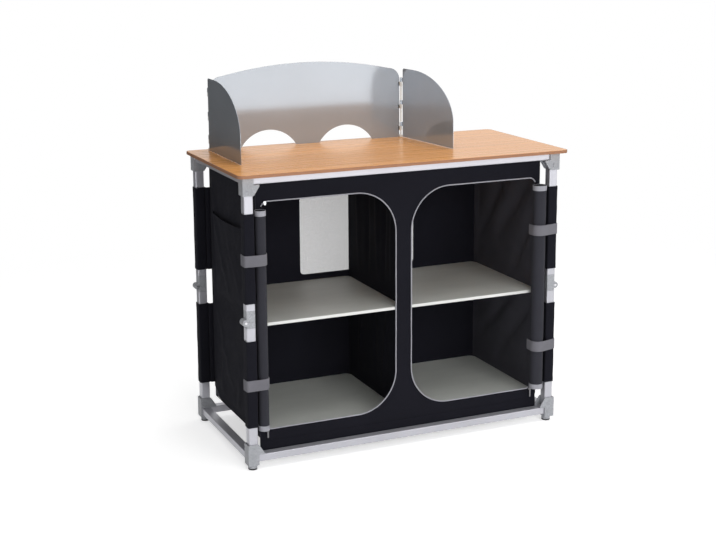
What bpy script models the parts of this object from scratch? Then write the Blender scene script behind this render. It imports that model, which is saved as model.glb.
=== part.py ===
"""Camping cupboard: a folding aluminium table frame with a tabletop, a fabric cupboard with four
compartments hung between its legs, and a three-piece windscreen.

Metres, +Z up. The origin is on the floor under the middle of the whole, +X is to the right and the
front faces -Y. The four corners are alike, so their pieces are modelled once around a leg's axis,
with +X and +Y pointing out of the frame, and mirrored to each corner.
"""

import math

import bmesh
import bpy
from mathutils import Matrix, Vector

# Clearances
GAP = 0.0003
PIVOT_GAP = 0.0003
SLEEVE_GAP = 0.0006

# Frame: outer faces of the legs, and the square tube of the legs
LEG_SPAN_X = 0.932
LEG_SPAN_Y = 0.437
TUBE = 0.025
TUBE_WALL = 0.0015
TUBE_CORNER = 0.003

# Rails: a rectangular tube lying on its wide side
RAIL_DEPTH = 0.025
RAIL_HEIGHT = 0.020
RAIL_WALL = 0.0015
RAIL_CORNER = 0.002

# Heights
TABLE_HEIGHT = 0.800
FOOT_HEIGHT = 0.0135
BOTTOM_RAIL_UNDERSIDE = 0.022

# Tabletop
BOARD = 0.0085
SIDE_OVERHANG = 0.022
FRONT_OVERHANG = 0.0265
REAR_INSET = 0.0035
TABLE_CORNER = 0.018
EDGING = 0.0015

# Corner brackets
BRACKET_PROUD = 0.004
BRACKET_INNER = 0.001
CHEEK_INNER = 0.003
BACK_WALL = 0.0013
PIVOT_TO_RAIL = 0.016
PIVOT_RADIUS = 0.003
PIVOT_COVER = 0.013
TUBE_PAST_PIVOT = 0.008
RIVET_RADIUS = 0.0045
RIVET_HEAD = 0.0012
BOSS_RADIUS = 0.006
BOSS_PROUD = 0.001
PLUG_LENGTH = 0.020
GUSSET_LENGTH = 0.0155
GUSSET_END_HEIGHT = 0.005

# Feet
FOOT_RADIUS = 0.0125
FOOT_TOP_RADIUS = 0.0105
FOOT_PAD = 0.004
SPIGOT_RADIUS = 0.004
SPIGOT_LENGTH = 0.0095

# Knees
KNEE_OFFSET = 0.014
KNUCKLE_BELOW = 0.015
KNUCKLE_ABOVE = 0.032
BARREL_RADIUS = 0.009
MIDDLE_LUG = 0.0084
KNEE_PIN_RADIUS = 0.002
KNEE_PIN_HEAD = 0.0035
KNEE_HEAD_THICKNESS = 0.001
KNUCKLE_PLUG = 0.025

# Fabric cupboard
FABRIC = 0.0016
CUPBOARD_SIDE_GAP = 0.014
CUPBOARD_FRONT_GAP = 0.004
PANEL_BOTTOM = 0.0305
FLOOR_HEIGHT = 0.078
SLEEVE_WALL = 0.0014
SLEEVE_CORNER = 0.004
SLEEVE_ABOVE_BOTTOM_PIVOT = 0.061
SLEEVE_BELOW_KNEE = 0.0506
SLEEVE_ABOVE_KNEE = 0.0504
SLEEVE_BELOW_TOP_PIVOT = 0.0602

# Door openings, rolled doors and their straps
CENTRE_STRIP = 0.047
DOOR_OUTER_MARGIN = 0.015
DOOR_ABOVE_FLOOR = 0.020
DOOR_HEADER = 0.0722
DOOR_CORNER = 0.115
DOOR_OUTER_CORNER = 0.020
LEFT_ROLL_RADIUS = 0.0165
RIGHT_ROLL_RADIUS = 0.0215
ROLL_FROM_LEG = 0.005
ROLL_ABOVE_SILL = 0.007
ROLL_BELOW_HEADER = 0.019
STRAP_HEIGHT = 0.030
STRAP = 0.0016
LOWER_STRAP_FROM_END = 0.129
UPPER_STRAP_FROM_END = 0.128

# Back window and side pocket
WINDOW_LEFT = -0.155
WINDOW_RIGHT = 0.215
WINDOW_ABOVE_SHELF = 0.018
WINDOW_BELOW_TOP = 0.1462
WINDOW_CORNER = 0.012
MESH = 0.0008
MESH_LAP = 0.010
POCKET_REAR = 0.140
POCKET_FRONT = -0.110
POCKET_DEEP = 0.236
POCKET_BELOW_TOP = 0.1552
POCKET_DEPTH = 0.014
WALL_NOTCH = 0.055
WALL_NOTCH_RISE = 0.0275

# Shelf boards
SHELF = 0.008
MIDDLE_SHELF_TOP = 0.392
SHELF_CORNER = 0.020

# Windscreen
SHEET = 0.0012
SCREEN_FROM_LEFT_EDGE = 0.068
SCREEN_WIDTH = 0.587
SCREEN_TOP = 0.235
SCREEN_SIDE_TOP = 0.198
SCREEN_CORNER = 0.035
SCREEN_FROM_REAR = 0.028
ARCH_FROM_CENTRE = 0.120
ARCH_WIDTH = 0.168
ARCH_HEIGHT = 0.047
WING_WIDTH = 0.275
WING_TOP = 0.204
WING_FLAT = 0.060
WING_SHOULDER = 0.070
WING_REAR_CORNER = 0.006
RIGHT_WING_SPLAY = math.radians(6)
HINGE_SIDE = 0.004
HINGE_FRONT = 0.003
WING_EDGE = 0.0055
WING_LIFT = 0.0008
ROD_RADIUS = 0.002
LOOP_RADIUS = 0.0036
LOOP_GAP = 0.0003
LOOP_HEIGHT = 0.012
LOOP_HEIGHTS = (0.020, 0.085, 0.152)
ROD_TOP = 0.178
ROD_DEPTH = 0.006
ROD_FOOT_RADIUS = 0.0045
ROD_FOOT_HEIGHT = 0.007

# Places worked out from the sizes above
HALF = TUBE / 2
LEG_X = LEG_SPAN_X / 2 - HALF
LEG_Y = LEG_SPAN_Y / 2 - HALF
FRAME_Y = (FRONT_OVERHANG - BRACKET_PROUD - RIVET_HEAD) / 2
BOARD_UNDERSIDE = TABLE_HEIGHT - BOARD
BOTTOM_RAIL_TOP = BOTTOM_RAIL_UNDERSIDE + RAIL_HEIGHT
TOP_RAIL_TOP = BOARD_UNDERSIDE - GAP
TOP_RAIL_UNDERSIDE = TOP_RAIL_TOP - RAIL_HEIGHT
BOTTOM_PIVOT = BOTTOM_RAIL_TOP + PIVOT_TO_RAIL
TOP_PIVOT = TOP_RAIL_UNDERSIDE - PIVOT_TO_RAIL
KNEE = (BOTTOM_PIVOT + TOP_PIVOT) / 2
CUPBOARD_X = LEG_X - HALF - CUPBOARD_SIDE_GAP
CUPBOARD_Y = LEG_Y - HALF - CUPBOARD_FRONT_GAP
FABRIC_TOP = BOARD_UNDERSIDE - GAP
LOWER_SLEEVE = (BOTTOM_PIVOT + SLEEVE_ABOVE_BOTTOM_PIVOT, KNEE - SLEEVE_BELOW_KNEE)
UPPER_SLEEVE = (KNEE + SLEEVE_ABOVE_KNEE, TOP_PIVOT - SLEEVE_BELOW_TOP_PIVOT)
DOOR_BOTTOM = FLOOR_HEIGHT + DOOR_ABOVE_FLOOR
DOOR_TOP = FABRIC_TOP - DOOR_HEADER
ROLL_BOTTOM = DOOR_BOTTOM + ROLL_ABOVE_SILL
ROLL_TOP = DOOR_TOP - ROLL_BELOW_HEADER
STRAP_MIDDLES = (ROLL_BOTTOM + LOWER_STRAP_FROM_END, ROLL_TOP - UPPER_STRAP_FROM_END)
WINDOW_BOTTOM = MIDDLE_SHELF_TOP + WINDOW_ABOVE_SHELF
WINDOW_TOP = FABRIC_TOP - WINDOW_BELOW_TOP
POCKET_MOUTH = FABRIC_TOP - POCKET_BELOW_TOP
POCKET_BOTTOM = POCKET_MOUTH - POCKET_DEEP
SCREEN_FLOOR = TABLE_HEIGHT + GAP
SCREEN_LEFT = SCREEN_FROM_LEFT_EDGE - LEG_SPAN_X / 2 - SIDE_OVERHANG
SCREEN_CENTRE = SCREEN_LEFT + SCREEN_WIDTH / 2
SCREEN_BEHIND = LEG_SPAN_Y / 2 - REAR_INSET - SCREEN_FROM_REAR
LEFT_HINGE = SCREEN_CENTRE - SCREEN_WIDTH / 2 - HINGE_SIDE
RIGHT_HINGE = SCREEN_CENTRE + SCREEN_WIDTH / 2 + HINGE_SIDE
HINGE_Y = SCREEN_BEHIND - HINGE_FRONT

CORNERS = {
    "front_left": (-1, -1),
    "front_right": (1, -1),
    "rear_left": (-1, 1),
    "rear_right": (1, 1),
}
OUTLINE_AXES = {"X": (1, 2, 0), "Y": (0, 2, 1), "Z": (0, 1, 2)}
ROUND = 24
SMALL_ROUND = 16


# Materials

def material(name, colour, roughness, metallic=0.0):
    made = bpy.data.materials.new(name)
    made.use_nodes = True
    shader = made.node_tree.nodes["Principled BSDF"]
    shader.inputs["Base Color"].default_value = (*colour, 1.0)
    shader.inputs["Roughness"].default_value = roughness
    shader.inputs["Metallic"].default_value = metallic
    return made


# Basic shapes

def solid(work):
    """A closed bmesh made an object of the scene, faces out."""
    bmesh.ops.recalc_face_normals(work, faces=work.faces)
    mesh = bpy.data.meshes.new("shape")
    work.to_mesh(mesh)
    work.free()
    made = bpy.data.objects.new("shape", mesh)
    bpy.context.scene.collection.objects.link(made)
    return made


def prism(outline, axis, low, high):
    """An outline in the two other axes, extruded along one axis."""
    first, second, along = OUTLINE_AXES[axis]
    work = bmesh.new()
    ring = []
    for a, b in outline:
        place = Vector((0, 0, 0))
        place[first] = a
        place[second] = b
        place[along] = low
        ring.append(work.verts.new(place))
    face = work.faces.new(ring)
    grown = bmesh.ops.extrude_face_region(work, geom=[face])
    far = [item for item in grown["geom"] if isinstance(item, bmesh.types.BMVert)]
    step = Vector((0, 0, 0))
    step[along] = high - low
    bmesh.ops.translate(work, vec=step, verts=far)
    return solid(work)


def block(low, high):
    outline = [(low[0], low[1]), (high[0], low[1]), (high[0], high[1]), (low[0], high[1])]
    return prism(outline, "Z", low[2], high[2])


def circle(centre, radius, sides=ROUND):
    turns = [math.tau * (step + 0.5) / sides for step in range(sides)]
    return [(centre[0] + radius * math.cos(t), centre[1] + radius * math.sin(t)) for t in turns]


def bar(centre, radius, axis, low, high, sides=ROUND):
    return prism(circle(centre, radius, sides), axis, low, high)


def rounded(corners, steps=3):
    """An outline whose corners, given as (a, b, radius), are arcs where the radius isn't zero."""
    outline = []
    for index, (a, b, radius) in enumerate(corners):
        here = Vector((a, b))
        if radius == 0:
            outline.append((a, b))
            continue
        before = (Vector(corners[index - 1][:2]) - here).normalized()
        after = (Vector(corners[(index + 1) % len(corners)][:2]) - here).normalized()
        half = before.angle(after) / 2
        centre = here + (before + after).normalized() * radius / math.sin(half)
        start = here + before * radius / math.tan(half) - centre
        turn = math.copysign(math.pi - 2 * half, after.cross(before))
        for step in range(steps + 1):
            arm = Matrix.Rotation(turn * step / steps, 2) @ start
            outline.append(tuple(centre + arm))
    return outline


def rectangle(low, high, radius, steps=3):
    corners = [
        (low[0], low[1], radius),
        (high[0], low[1], radius),
        (high[0], high[1], radius),
        (low[0], high[1], radius),
    ]
    return rounded(corners, steps)


def square(half, radius):
    return rectangle((-half, -half), (half, half), radius, 2)


# Joining and cutting

def apply_boolean(target, tool, operation):
    step = target.modifiers.new(operation, "BOOLEAN")
    step.operation = operation
    step.solver = "EXACT"
    step.object = tool
    bpy.context.view_layer.update()
    seen = bpy.context.evaluated_depsgraph_get()
    result = bpy.data.meshes.new_from_object(target.evaluated_get(seen))
    target.modifiers.clear()
    used = [target.data, tool.data]
    target.data = result
    bpy.data.objects.remove(tool)
    for mesh in used:
        bpy.data.meshes.remove(mesh)


def joined(first, *others):
    for other in others:
        apply_boolean(first, other, "UNION")
    return first


def cut(first, *tools):
    for tool in tools:
        apply_boolean(first, tool, "DIFFERENCE")
    return first


# Naming, placing and parenting

def placed(shape, name, finish, location):
    shape.name = name
    shape.data.name = name
    shape.location = location
    shape.data.materials.clear()
    shape.data.materials.append(finish)
    shape.data.shade_smooth()
    shape.data.set_sharp_from_angle(angle=math.radians(30))
    return shape


def in_frame(shape, name, finish):
    """A piece modelled around the middle of the leg frame."""
    return placed(shape, name, finish, (0, FRAME_Y, 0))


def at_corners(shape, prefix, finish):
    """Mirrored copies of a corner's piece, one at each corner of the frame."""
    made = {}
    for corner, (side, end) in CORNERS.items():
        copy = bpy.data.objects.new("copy", shape.data.copy())
        bpy.context.scene.collection.objects.link(copy)
        copy.data.transform(Matrix.Diagonal((side, end, 1, 1)))
        if side * end < 0:
            copy.data.flip_normals()
        where = (side * LEG_X, FRAME_Y + end * LEG_Y, 0)
        made[corner] = placed(copy, f"{prefix}_{corner}", finish, where)
    used = shape.data
    bpy.data.objects.remove(shape)
    bpy.data.meshes.remove(used)
    return made


def carried(pieces, name, location):
    """An empty on a joint's axis, the parent of the pieces that turn or slide there."""
    axis = bpy.data.objects.new(name, None)
    axis.location = location
    bpy.context.scene.collection.objects.link(axis)
    for piece in pieces:
        piece.parent = axis
        piece.matrix_parent_inverse = Matrix.Translation(-Vector(location))
    return axis


# Corner brackets and feet

def bracket(rail_face, rail_far, pivot, away):
    """A corner's casting: a core between the rails, plugs in their ends, and the leg's clevis.

    rail_face is the rails' face towards the knee, rail_far the other end of the core, pivot the
    height of the leg's pivot, and away is 1 where the clevis stands up and -1 where it hangs.
    """
    proud = HALF + BRACKET_PROUD
    inner_x = -HALF - BRACKET_INNER
    inner_y = -HALF - GAP - CHEEK_INNER
    top = pivot + away * PIVOT_COVER
    core = block(
        (inner_x, inner_y, min(rail_face, rail_far)),
        (proud, proud, max(rail_face, rail_far)),
    )
    cheek = rounded([
        (proud, rail_face - away * GUSSET_END_HEIGHT, 0),
        (proud, top, 0.003),
        (inner_x, top, 0.003),
        (inner_x - GUSSET_LENGTH, rail_face + away * GUSSET_END_HEIGHT, 0.002),
        (inner_x - GUSSET_LENGTH, rail_face + away * GAP, 0),
        (inner_x, rail_face + away * GAP, 0),
        (inner_x, rail_face - away * GUSSET_END_HEIGHT, 0),
    ], 2)
    clevis = [
        prism(cheek, "Y", HALF + GAP, proud),
        prism(cheek, "Y", inner_y, -HALF - GAP),
        block(
            (proud - BACK_WALL, inner_y, min(rail_face, top)),
            (proud, proud, max(rail_face, top)),
        ),
        bar((0, pivot), PIVOT_RADIUS, "Y", inner_y, proud, SMALL_ROUND),
        bar((0, pivot), RIVET_RADIUS, "Y", proud - BRACKET_PROUD / 2, proud + RIVET_HEAD),
    ]
    rail_low = min(rail_face, rail_face - away * RAIL_HEIGHT) + RAIL_WALL + GAP
    rail_high = max(rail_face, rail_face - away * RAIL_HEIGHT) - RAIL_WALL - GAP
    plug_half = RAIL_DEPTH / 2 - RAIL_WALL - GAP
    plugs = [
        block((inner_x - PLUG_LENGTH, -plug_half, rail_low), (0, plug_half, rail_high)),
        block((-plug_half, inner_y - PLUG_LENGTH, rail_low), (plug_half, 0, rail_high)),
    ]
    return joined(core, *clevis, *plugs)


def bottom_brackets(finish):
    shape = bracket(BOTTOM_RAIL_TOP, FOOT_HEIGHT, BOTTOM_PIVOT, 1)
    proud = HALF + BRACKET_PROUD
    boss_height = (BOTTOM_RAIL_TOP + FOOT_HEIGHT) / 2 + BRACKET_PROUD
    boss = bar((0, boss_height), BOSS_RADIUS, "Y", proud - BRACKET_PROUD, proud + BOSS_PROUD)
    socket_top = FOOT_HEIGHT + SPIGOT_LENGTH + GAP
    socket = bar((0, 0), SPIGOT_RADIUS + GAP, "Z", 0, socket_top, SMALL_ROUND)
    shape = cut(joined(shape, boss), socket)
    return at_corners(shape, "bottom_bracket", finish)


def top_brackets(finish):
    shape = bracket(TOP_RAIL_UNDERSIDE, TOP_RAIL_TOP, TOP_PIVOT, -1)
    return at_corners(shape, "top_bracket", finish)


def feet(finish):
    pad = bar((0, 0), FOOT_RADIUS, "Z", 0, FOOT_PAD)
    stem = bar((0, 0), FOOT_TOP_RADIUS, "Z", FOOT_PAD / 2, FOOT_HEIGHT - GAP)
    spigot = bar((0, 0), SPIGOT_RADIUS, "Z", FOOT_PAD, FOOT_HEIGHT + SPIGOT_LENGTH, SMALL_ROUND)
    return at_corners(joined(pad, stem, spigot), "foot", finish)


# Rails

def rail(axis, middle, low_z, half_length):
    """A hollow rail along X or Y, with its middle line at the given place across its length."""
    half = RAIL_DEPTH / 2
    outer = rectangle(
        (middle - half, low_z), (middle + half, low_z + RAIL_HEIGHT), RAIL_CORNER, 2
    )
    inner = rectangle(
        (middle - half + RAIL_WALL, low_z + RAIL_WALL),
        (middle + half - RAIL_WALL, low_z + RAIL_HEIGHT - RAIL_WALL),
        0,
    )
    hollow = prism(inner, axis, -half_length - TUBE, half_length + TUBE)
    return cut(prism(outer, axis, -half_length, half_length), hollow)


def rails(prefix, low_z, finish):
    long_half = LEG_X - HALF - BRACKET_INNER - GAP
    short_half = LEG_Y - HALF - 2 * GAP - CHEEK_INNER
    return [
        in_frame(rail("X", -LEG_Y, low_z, long_half), f"{prefix}_rail_front", finish),
        in_frame(rail("X", LEG_Y, low_z, long_half), f"{prefix}_rail_rear", finish),
        in_frame(rail("Y", -LEG_X, low_z, short_half), f"{prefix}_rail_left", finish),
        in_frame(rail("Y", LEG_X, low_z, short_half), f"{prefix}_rail_right", finish),
    ]


# Folding legs

def leg_tube(low, high, pivot):
    outer = prism(square(HALF, TUBE_CORNER), "Z", low, high)
    bore = prism(square(HALF - TUBE_WALL, TUBE_CORNER - TUBE_WALL), "Z", low - TUBE, high + TUBE)
    hole = bar((0, pivot), PIVOT_RADIUS + PIVOT_GAP, "Y", -TUBE, TUBE, SMALL_ROUND)
    return cut(outer, bore, hole)


def knuckle(body_low, body_high, plug_low, plug_high, own_lugs, other_lugs):
    """Half of a knee: a body flush with the tube, a plug in the tube, and lugs round the pin."""
    body = prism(square(HALF, TUBE_CORNER), "Z", body_low, body_high)
    plug_half = HALF - TUBE_WALL - GAP
    plug = prism(square(plug_half, TUBE_CORNER - TUBE_WALL), "Z", plug_low, plug_high)
    axis = (KNEE_OFFSET, KNEE)
    lugs = [bar(axis, BARREL_RADIUS, "Y", low, high) for low, high in own_lugs]
    reliefs = [bar(axis, BARREL_RADIUS + PIVOT_GAP, "Y", low, high) for low, high in other_lugs]
    pin_hole = bar(axis, KNEE_PIN_RADIUS + PIVOT_GAP, "Y", -TUBE, TUBE, SMALL_ROUND)
    body = cut(joined(body, plug), *reliefs)
    return cut(joined(body, *lugs), pin_hole)


def legs(tube_finish, knuckle_finish, pin_finish):
    middle = MIDDLE_LUG / 2
    outer_lugs = [(-HALF, -middle - GAP), (middle + GAP, HALF)]
    middle_lug = [(-middle, middle)]
    middle_relief = [(-middle - GAP, middle + GAP)]
    outer_reliefs = [(-TUBE, -middle), (middle, TUBE)]
    low_end = KNEE - KNUCKLE_BELOW
    high_end = KNEE + KNUCKLE_ABOVE
    lower_tube = leg_tube(BOTTOM_PIVOT - TUBE_PAST_PIVOT, low_end - GAP, BOTTOM_PIVOT)
    upper_tube = leg_tube(high_end + GAP, TOP_PIVOT + TUBE_PAST_PIVOT, TOP_PIVOT)
    lower_knuckle = knuckle(
        low_end, KNEE - GAP / 2, low_end - KNUCKLE_PLUG, KNEE - GAP, outer_lugs, middle_relief
    )
    upper_knuckle = knuckle(
        KNEE + GAP / 2, high_end, KNEE + GAP, high_end + KNUCKLE_PLUG, middle_lug, outer_reliefs
    )
    axis = (KNEE_OFFSET, KNEE)
    head_end = HALF + GAP + KNEE_HEAD_THICKNESS
    pin = joined(
        bar(axis, KNEE_PIN_RADIUS, "Y", -head_end, head_end, SMALL_ROUND),
        bar(axis, KNEE_PIN_HEAD, "Y", HALF + GAP, head_end, SMALL_ROUND),
        bar(axis, KNEE_PIN_HEAD, "Y", -head_end, -HALF - GAP, SMALL_ROUND),
    )
    lower = [
        at_corners(lower_tube, "lower_leg_tube", tube_finish),
        at_corners(lower_knuckle, "lower_knuckle", knuckle_finish),
        at_corners(pin, "knee_pin", pin_finish),
    ]
    upper = [
        at_corners(upper_tube, "upper_leg_tube", tube_finish),
        at_corners(upper_knuckle, "upper_knuckle", knuckle_finish),
    ]
    for corner, (side, end) in CORNERS.items():
        foot_of_leg = (side * LEG_X, FRAME_Y + end * LEG_Y, BOTTOM_PIVOT)
        knee = (side * (LEG_X + KNEE_OFFSET), FRAME_Y + end * LEG_Y, KNEE)
        carried([pieces[corner] for pieces in lower], f"lower_leg_axis_{corner}", foot_of_leg)
        carried([pieces[corner] for pieces in upper], f"knee_axis_{corner}", knee)


# Tabletop

def tabletop(board_finish, edging_finish):
    half_x = LEG_SPAN_X / 2 + SIDE_OVERHANG
    front = -LEG_SPAN_Y / 2 - FRONT_OVERHANG
    rear = LEG_SPAN_Y / 2 - REAR_INSET

    def plate(inset, low, high):
        outline = rectangle(
            (-half_x + inset, front + inset), (half_x - inset, rear - inset), TABLE_CORNER - inset, 6
        )
        return prism(outline, "Z", low, high)

    board = plate(EDGING + GAP, BOARD_UNDERSIDE, TABLE_HEIGHT)
    for hinge in (LEFT_HINGE, RIGHT_HINGE):
        hole = bar(
            (hinge, HINGE_Y), ROD_RADIUS + GAP, "Z",
            TABLE_HEIGHT - ROD_DEPTH - GAP, TABLE_HEIGHT + BOARD, SMALL_ROUND,
        )
        board = cut(board, hole)
    strip = cut(
        plate(0, BOARD_UNDERSIDE, TABLE_HEIGHT - GAP),
        plate(EDGING, BOARD_UNDERSIDE - BOARD, TABLE_HEIGHT + BOARD),
    )
    return [
        in_frame(board, "tabletop", board_finish),
        in_frame(strip, "tabletop_edging", edging_finish),
    ]


# Fabric cupboard

def door_opening(side):
    """The opening at one side: large arcs next to the centre strip, small ones at the hinge."""
    near = side * CENTRE_STRIP / 2
    far = side * (CUPBOARD_X - DOOR_OUTER_MARGIN)
    return rounded([
        (near, DOOR_BOTTOM, DOOR_CORNER),
        (far, DOOR_BOTTOM, DOOR_OUTER_CORNER),
        (far, DOOR_TOP, DOOR_OUTER_CORNER),
        (near, DOOR_TOP, DOOR_CORNER),
    ], 8)


def front_panel(finish):
    half = CUPBOARD_X - FABRIC - GAP
    panel = block(
        (-half, -CUPBOARD_Y, PANEL_BOTTOM), (half, -CUPBOARD_Y + FABRIC, FABRIC_TOP)
    )
    doors = [
        prism(door_opening(side), "Y", -CUPBOARD_Y - TUBE, -CUPBOARD_Y + TUBE)
        for side in (-1, 1)
    ]
    return in_frame(cut(panel, *doors), "cabinet_front_panel", finish)


def sleeve(end, low, high):
    """A tunnel of fabric round a leg, and the flat and tongue that sew it to the wall at +X."""
    outer = HALF + SLEEVE_GAP + SLEEVE_WALL
    ring = prism(square(outer, SLEEVE_CORNER), "Z", low, high)
    bore = prism(square(HALF + SLEEVE_GAP, TUBE_CORNER), "Z", low - TUBE, high + TUBE)
    ring = cut(ring, bore)
    ring.data.transform(Matrix.Translation((LEG_X, end * LEG_Y, 0)))
    inner = CUPBOARD_Y - FABRIC
    ring_x = LEG_X - outer
    flat = block(
        (CUPBOARD_X - FABRIC, min(end * inner, end * CUPBOARD_Y), low),
        (ring_x + SLEEVE_WALL, max(end * inner, end * CUPBOARD_Y), high),
    )
    tongue_end = LEG_Y - outer + SLEEVE_CORNER + SLEEVE_WALL
    tongue = block(
        (ring_x, min(end * inner, end * tongue_end), low),
        (ring_x + SLEEVE_WALL, max(end * inner, end * tongue_end), high),
    )
    return [flat, tongue, ring]


def side_wall():
    """The wall at +X with its four sleeves, cut back beside the lower brackets."""
    outline = [
        (-CUPBOARD_Y, FLOOR_HEIGHT),
        (CUPBOARD_Y - WALL_NOTCH, FLOOR_HEIGHT),
        (CUPBOARD_Y, FLOOR_HEIGHT + WALL_NOTCH_RISE),
        (CUPBOARD_Y, FABRIC_TOP),
        (-CUPBOARD_Y, FABRIC_TOP),
    ]
    wall = prism(outline, "X", CUPBOARD_X - FABRIC, CUPBOARD_X)
    for end in (-1, 1):
        for low_z, high_z in (LOWER_SLEEVE, UPPER_SLEEVE):
            wall = joined(wall, *sleeve(end, low_z, high_z))
    return wall


def pocket():
    """A pouch on the outside of the wall at +X, sewn down at its sides and open at the top."""
    outer = [
        (CUPBOARD_X - FABRIC / 2, POCKET_BOTTOM),
        (CUPBOARD_X + FABRIC, POCKET_BOTTOM),
        (CUPBOARD_X + POCKET_DEPTH, POCKET_MOUTH),
        (CUPBOARD_X - FABRIC / 2, POCKET_MOUTH),
    ]
    inner = [
        (CUPBOARD_X, POCKET_BOTTOM + POCKET_DEPTH),
        (CUPBOARD_X + FABRIC, POCKET_BOTTOM + POCKET_DEPTH),
        (CUPBOARD_X + POCKET_DEPTH - FABRIC, POCKET_MOUTH + FABRIC),
        (CUPBOARD_X, POCKET_MOUTH + FABRIC),
    ]
    pouch = prism(outer, "Y", POCKET_FRONT, POCKET_REAR)
    return cut(pouch, prism(inner, "Y", POCKET_FRONT + FABRIC, POCKET_REAR - FABRIC))


def to_left(shape):
    shape.data.transform(Matrix.Diagonal((-1, 1, 1, 1)))
    shape.data.flip_normals()
    return shape


def side_walls(finish):
    return [
        in_frame(to_left(joined(side_wall(), pocket())), "cabinet_left_wall", finish),
        in_frame(side_wall(), "cabinet_right_wall", finish),
    ]


def back_and_floor(finish, mesh_finish):
    half = CUPBOARD_X - FABRIC - GAP
    inner = CUPBOARD_Y - FABRIC
    back = block((-half, inner, FLOOR_HEIGHT - FABRIC), (half, CUPBOARD_Y, FABRIC_TOP))
    window = rectangle(
        (WINDOW_LEFT, WINDOW_BOTTOM), (WINDOW_RIGHT, WINDOW_TOP), WINDOW_CORNER
    )
    back = cut(back, prism(window, "Y", inner - TUBE, CUPBOARD_Y + TUBE))
    floor = block(
        (-half, -inner + GAP, FLOOR_HEIGHT - FABRIC), (half, inner + FABRIC / 2, FLOOR_HEIGHT)
    )
    net = rectangle(
        (WINDOW_LEFT - MESH_LAP, WINDOW_BOTTOM - MESH_LAP),
        (WINDOW_RIGHT + MESH_LAP, WINDOW_TOP + MESH_LAP),
        WINDOW_CORNER,
    )
    net = prism(net, "Y", CUPBOARD_Y + GAP, CUPBOARD_Y + GAP + MESH)
    return [
        in_frame(joined(back, floor), "cabinet_back_and_floor", finish),
        in_frame(net, "rear_mesh_window", mesh_finish),
    ]


def divider(finish):
    reach = CUPBOARD_Y - FABRIC - GAP
    sheet = block(
        (-FABRIC / 2, -reach, FLOOR_HEIGHT + GAP), (FABRIC / 2, reach, FABRIC_TOP)
    )
    return in_frame(sheet, "cabinet_divider", finish)


def door_roll(radius):
    """The door at +X rolled up in front of the panel, with the two straps round it and the leg."""
    middle_x = LEG_X - HALF - ROLL_FROM_LEG - radius
    middle_y = -CUPBOARD_Y - radius - GAP
    roll = bar((middle_x, middle_y), radius, "Z", ROLL_BOTTOM, ROLL_TOP)
    sleeve_half = HALF + SLEEVE_GAP + SLEEVE_WALL
    outside = LEG_X + sleeve_half + GAP
    inside = middle_x - radius
    front = min(middle_y - radius, -LEG_Y - sleeve_half) - GAP
    for height in STRAP_MIDDLES:
        low, high = height - STRAP_HEIGHT / 2, height + STRAP_HEIGHT / 2
        runs = [
            block((inside - STRAP, front - STRAP, low), (outside + STRAP, front, high)),
            block((outside, front - STRAP / 2, low), (outside + STRAP, -LEG_Y + HALF, high)),
            block((inside - STRAP, front - STRAP / 2, low), (inside + STRAP, middle_y, high)),
        ]
        roll = joined(roll, *runs)
    return roll


def door_rolls(finish):
    return [
        in_frame(to_left(door_roll(LEFT_ROLL_RADIUS)), "door_roll_left", finish),
        in_frame(door_roll(RIGHT_ROLL_RADIUS), "door_roll_right", finish),
    ]


# Shelf boards

def shelf_board(side, top):
    near = side * (FABRIC / 2 + GAP)
    far = side * (CUPBOARD_X - FABRIC - 2 * GAP)
    reach = CUPBOARD_Y - FABRIC - 2 * GAP
    outline = rectangle(
        (min(near, far), -reach), (max(near, far), reach), SHELF_CORNER
    )
    return prism(outline, "Z", top - SHELF, top)


def shelves(finish):
    floor_top = FLOOR_HEIGHT + GAP + SHELF
    middle = []
    for name, side in (("left", -1), ("right", 1)):
        in_frame(shelf_board(side, floor_top), f"floor_shelf_{name}", finish)
        board = shelf_board(side, MIDDLE_SHELF_TOP)
        middle.append(in_frame(board, f"middle_shelf_{name}", finish))
    carried(middle, "middle_shelf_slide", (0, FRAME_Y, MIDDLE_SHELF_TOP))


# Windscreen

def loops(x, y, start, tab_low, tab_high):
    """Rings round a hinge rod, one at each height, each with the tab that holds it to its sheet."""
    made = []
    for height in LOOP_HEIGHTS:
        low = SCREEN_FLOOR + height + start
        high = low + LOOP_HEIGHT
        made.append(bar((x, y), LOOP_RADIUS, "Z", low, high, SMALL_ROUND))
        made.append(block((*tab_low, low), (*tab_high, high)))
    return made


def rod_bore(x, y):
    return bar(
        (x, y), ROD_RADIUS + LOOP_GAP, "Z",
        SCREEN_FLOOR - TUBE, SCREEN_FLOOR + SCREEN_TOP, SMALL_ROUND,
    )


def arch():
    """The upper edge of the rear panel: an arc from side to side, with rounded shoulders."""
    half = SCREEN_WIDTH / 2
    rise = SCREEN_TOP - SCREEN_SIDE_TOP
    radius = (half**2 + rise**2) / (2 * rise)
    steps = 14
    reach = math.asin((half - SCREEN_CORNER) / radius)
    crown = []
    for step in range(steps + 1):
        turn = reach - 2 * reach * step / steps
        crown.append((
            SCREEN_CENTRE + radius * math.sin(turn),
            SCREEN_FLOOR + SCREEN_TOP - radius * (1 - math.cos(turn)),
        ))
    return crown


def shoulder(side, top):
    """A quarter of an ellipse from the crown down to the side of the rear panel."""
    steps = 6
    edge = []
    for step in range(1, steps + 1):
        turn = math.pi / 2 * step / steps
        across = SCREEN_WIDTH / 2 - SCREEN_CORNER * (1 - math.sin(turn))
        edge.append((SCREEN_CENTRE + side * across, top - SCREEN_CORNER * (1 - math.cos(turn))))
    return edge


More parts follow.
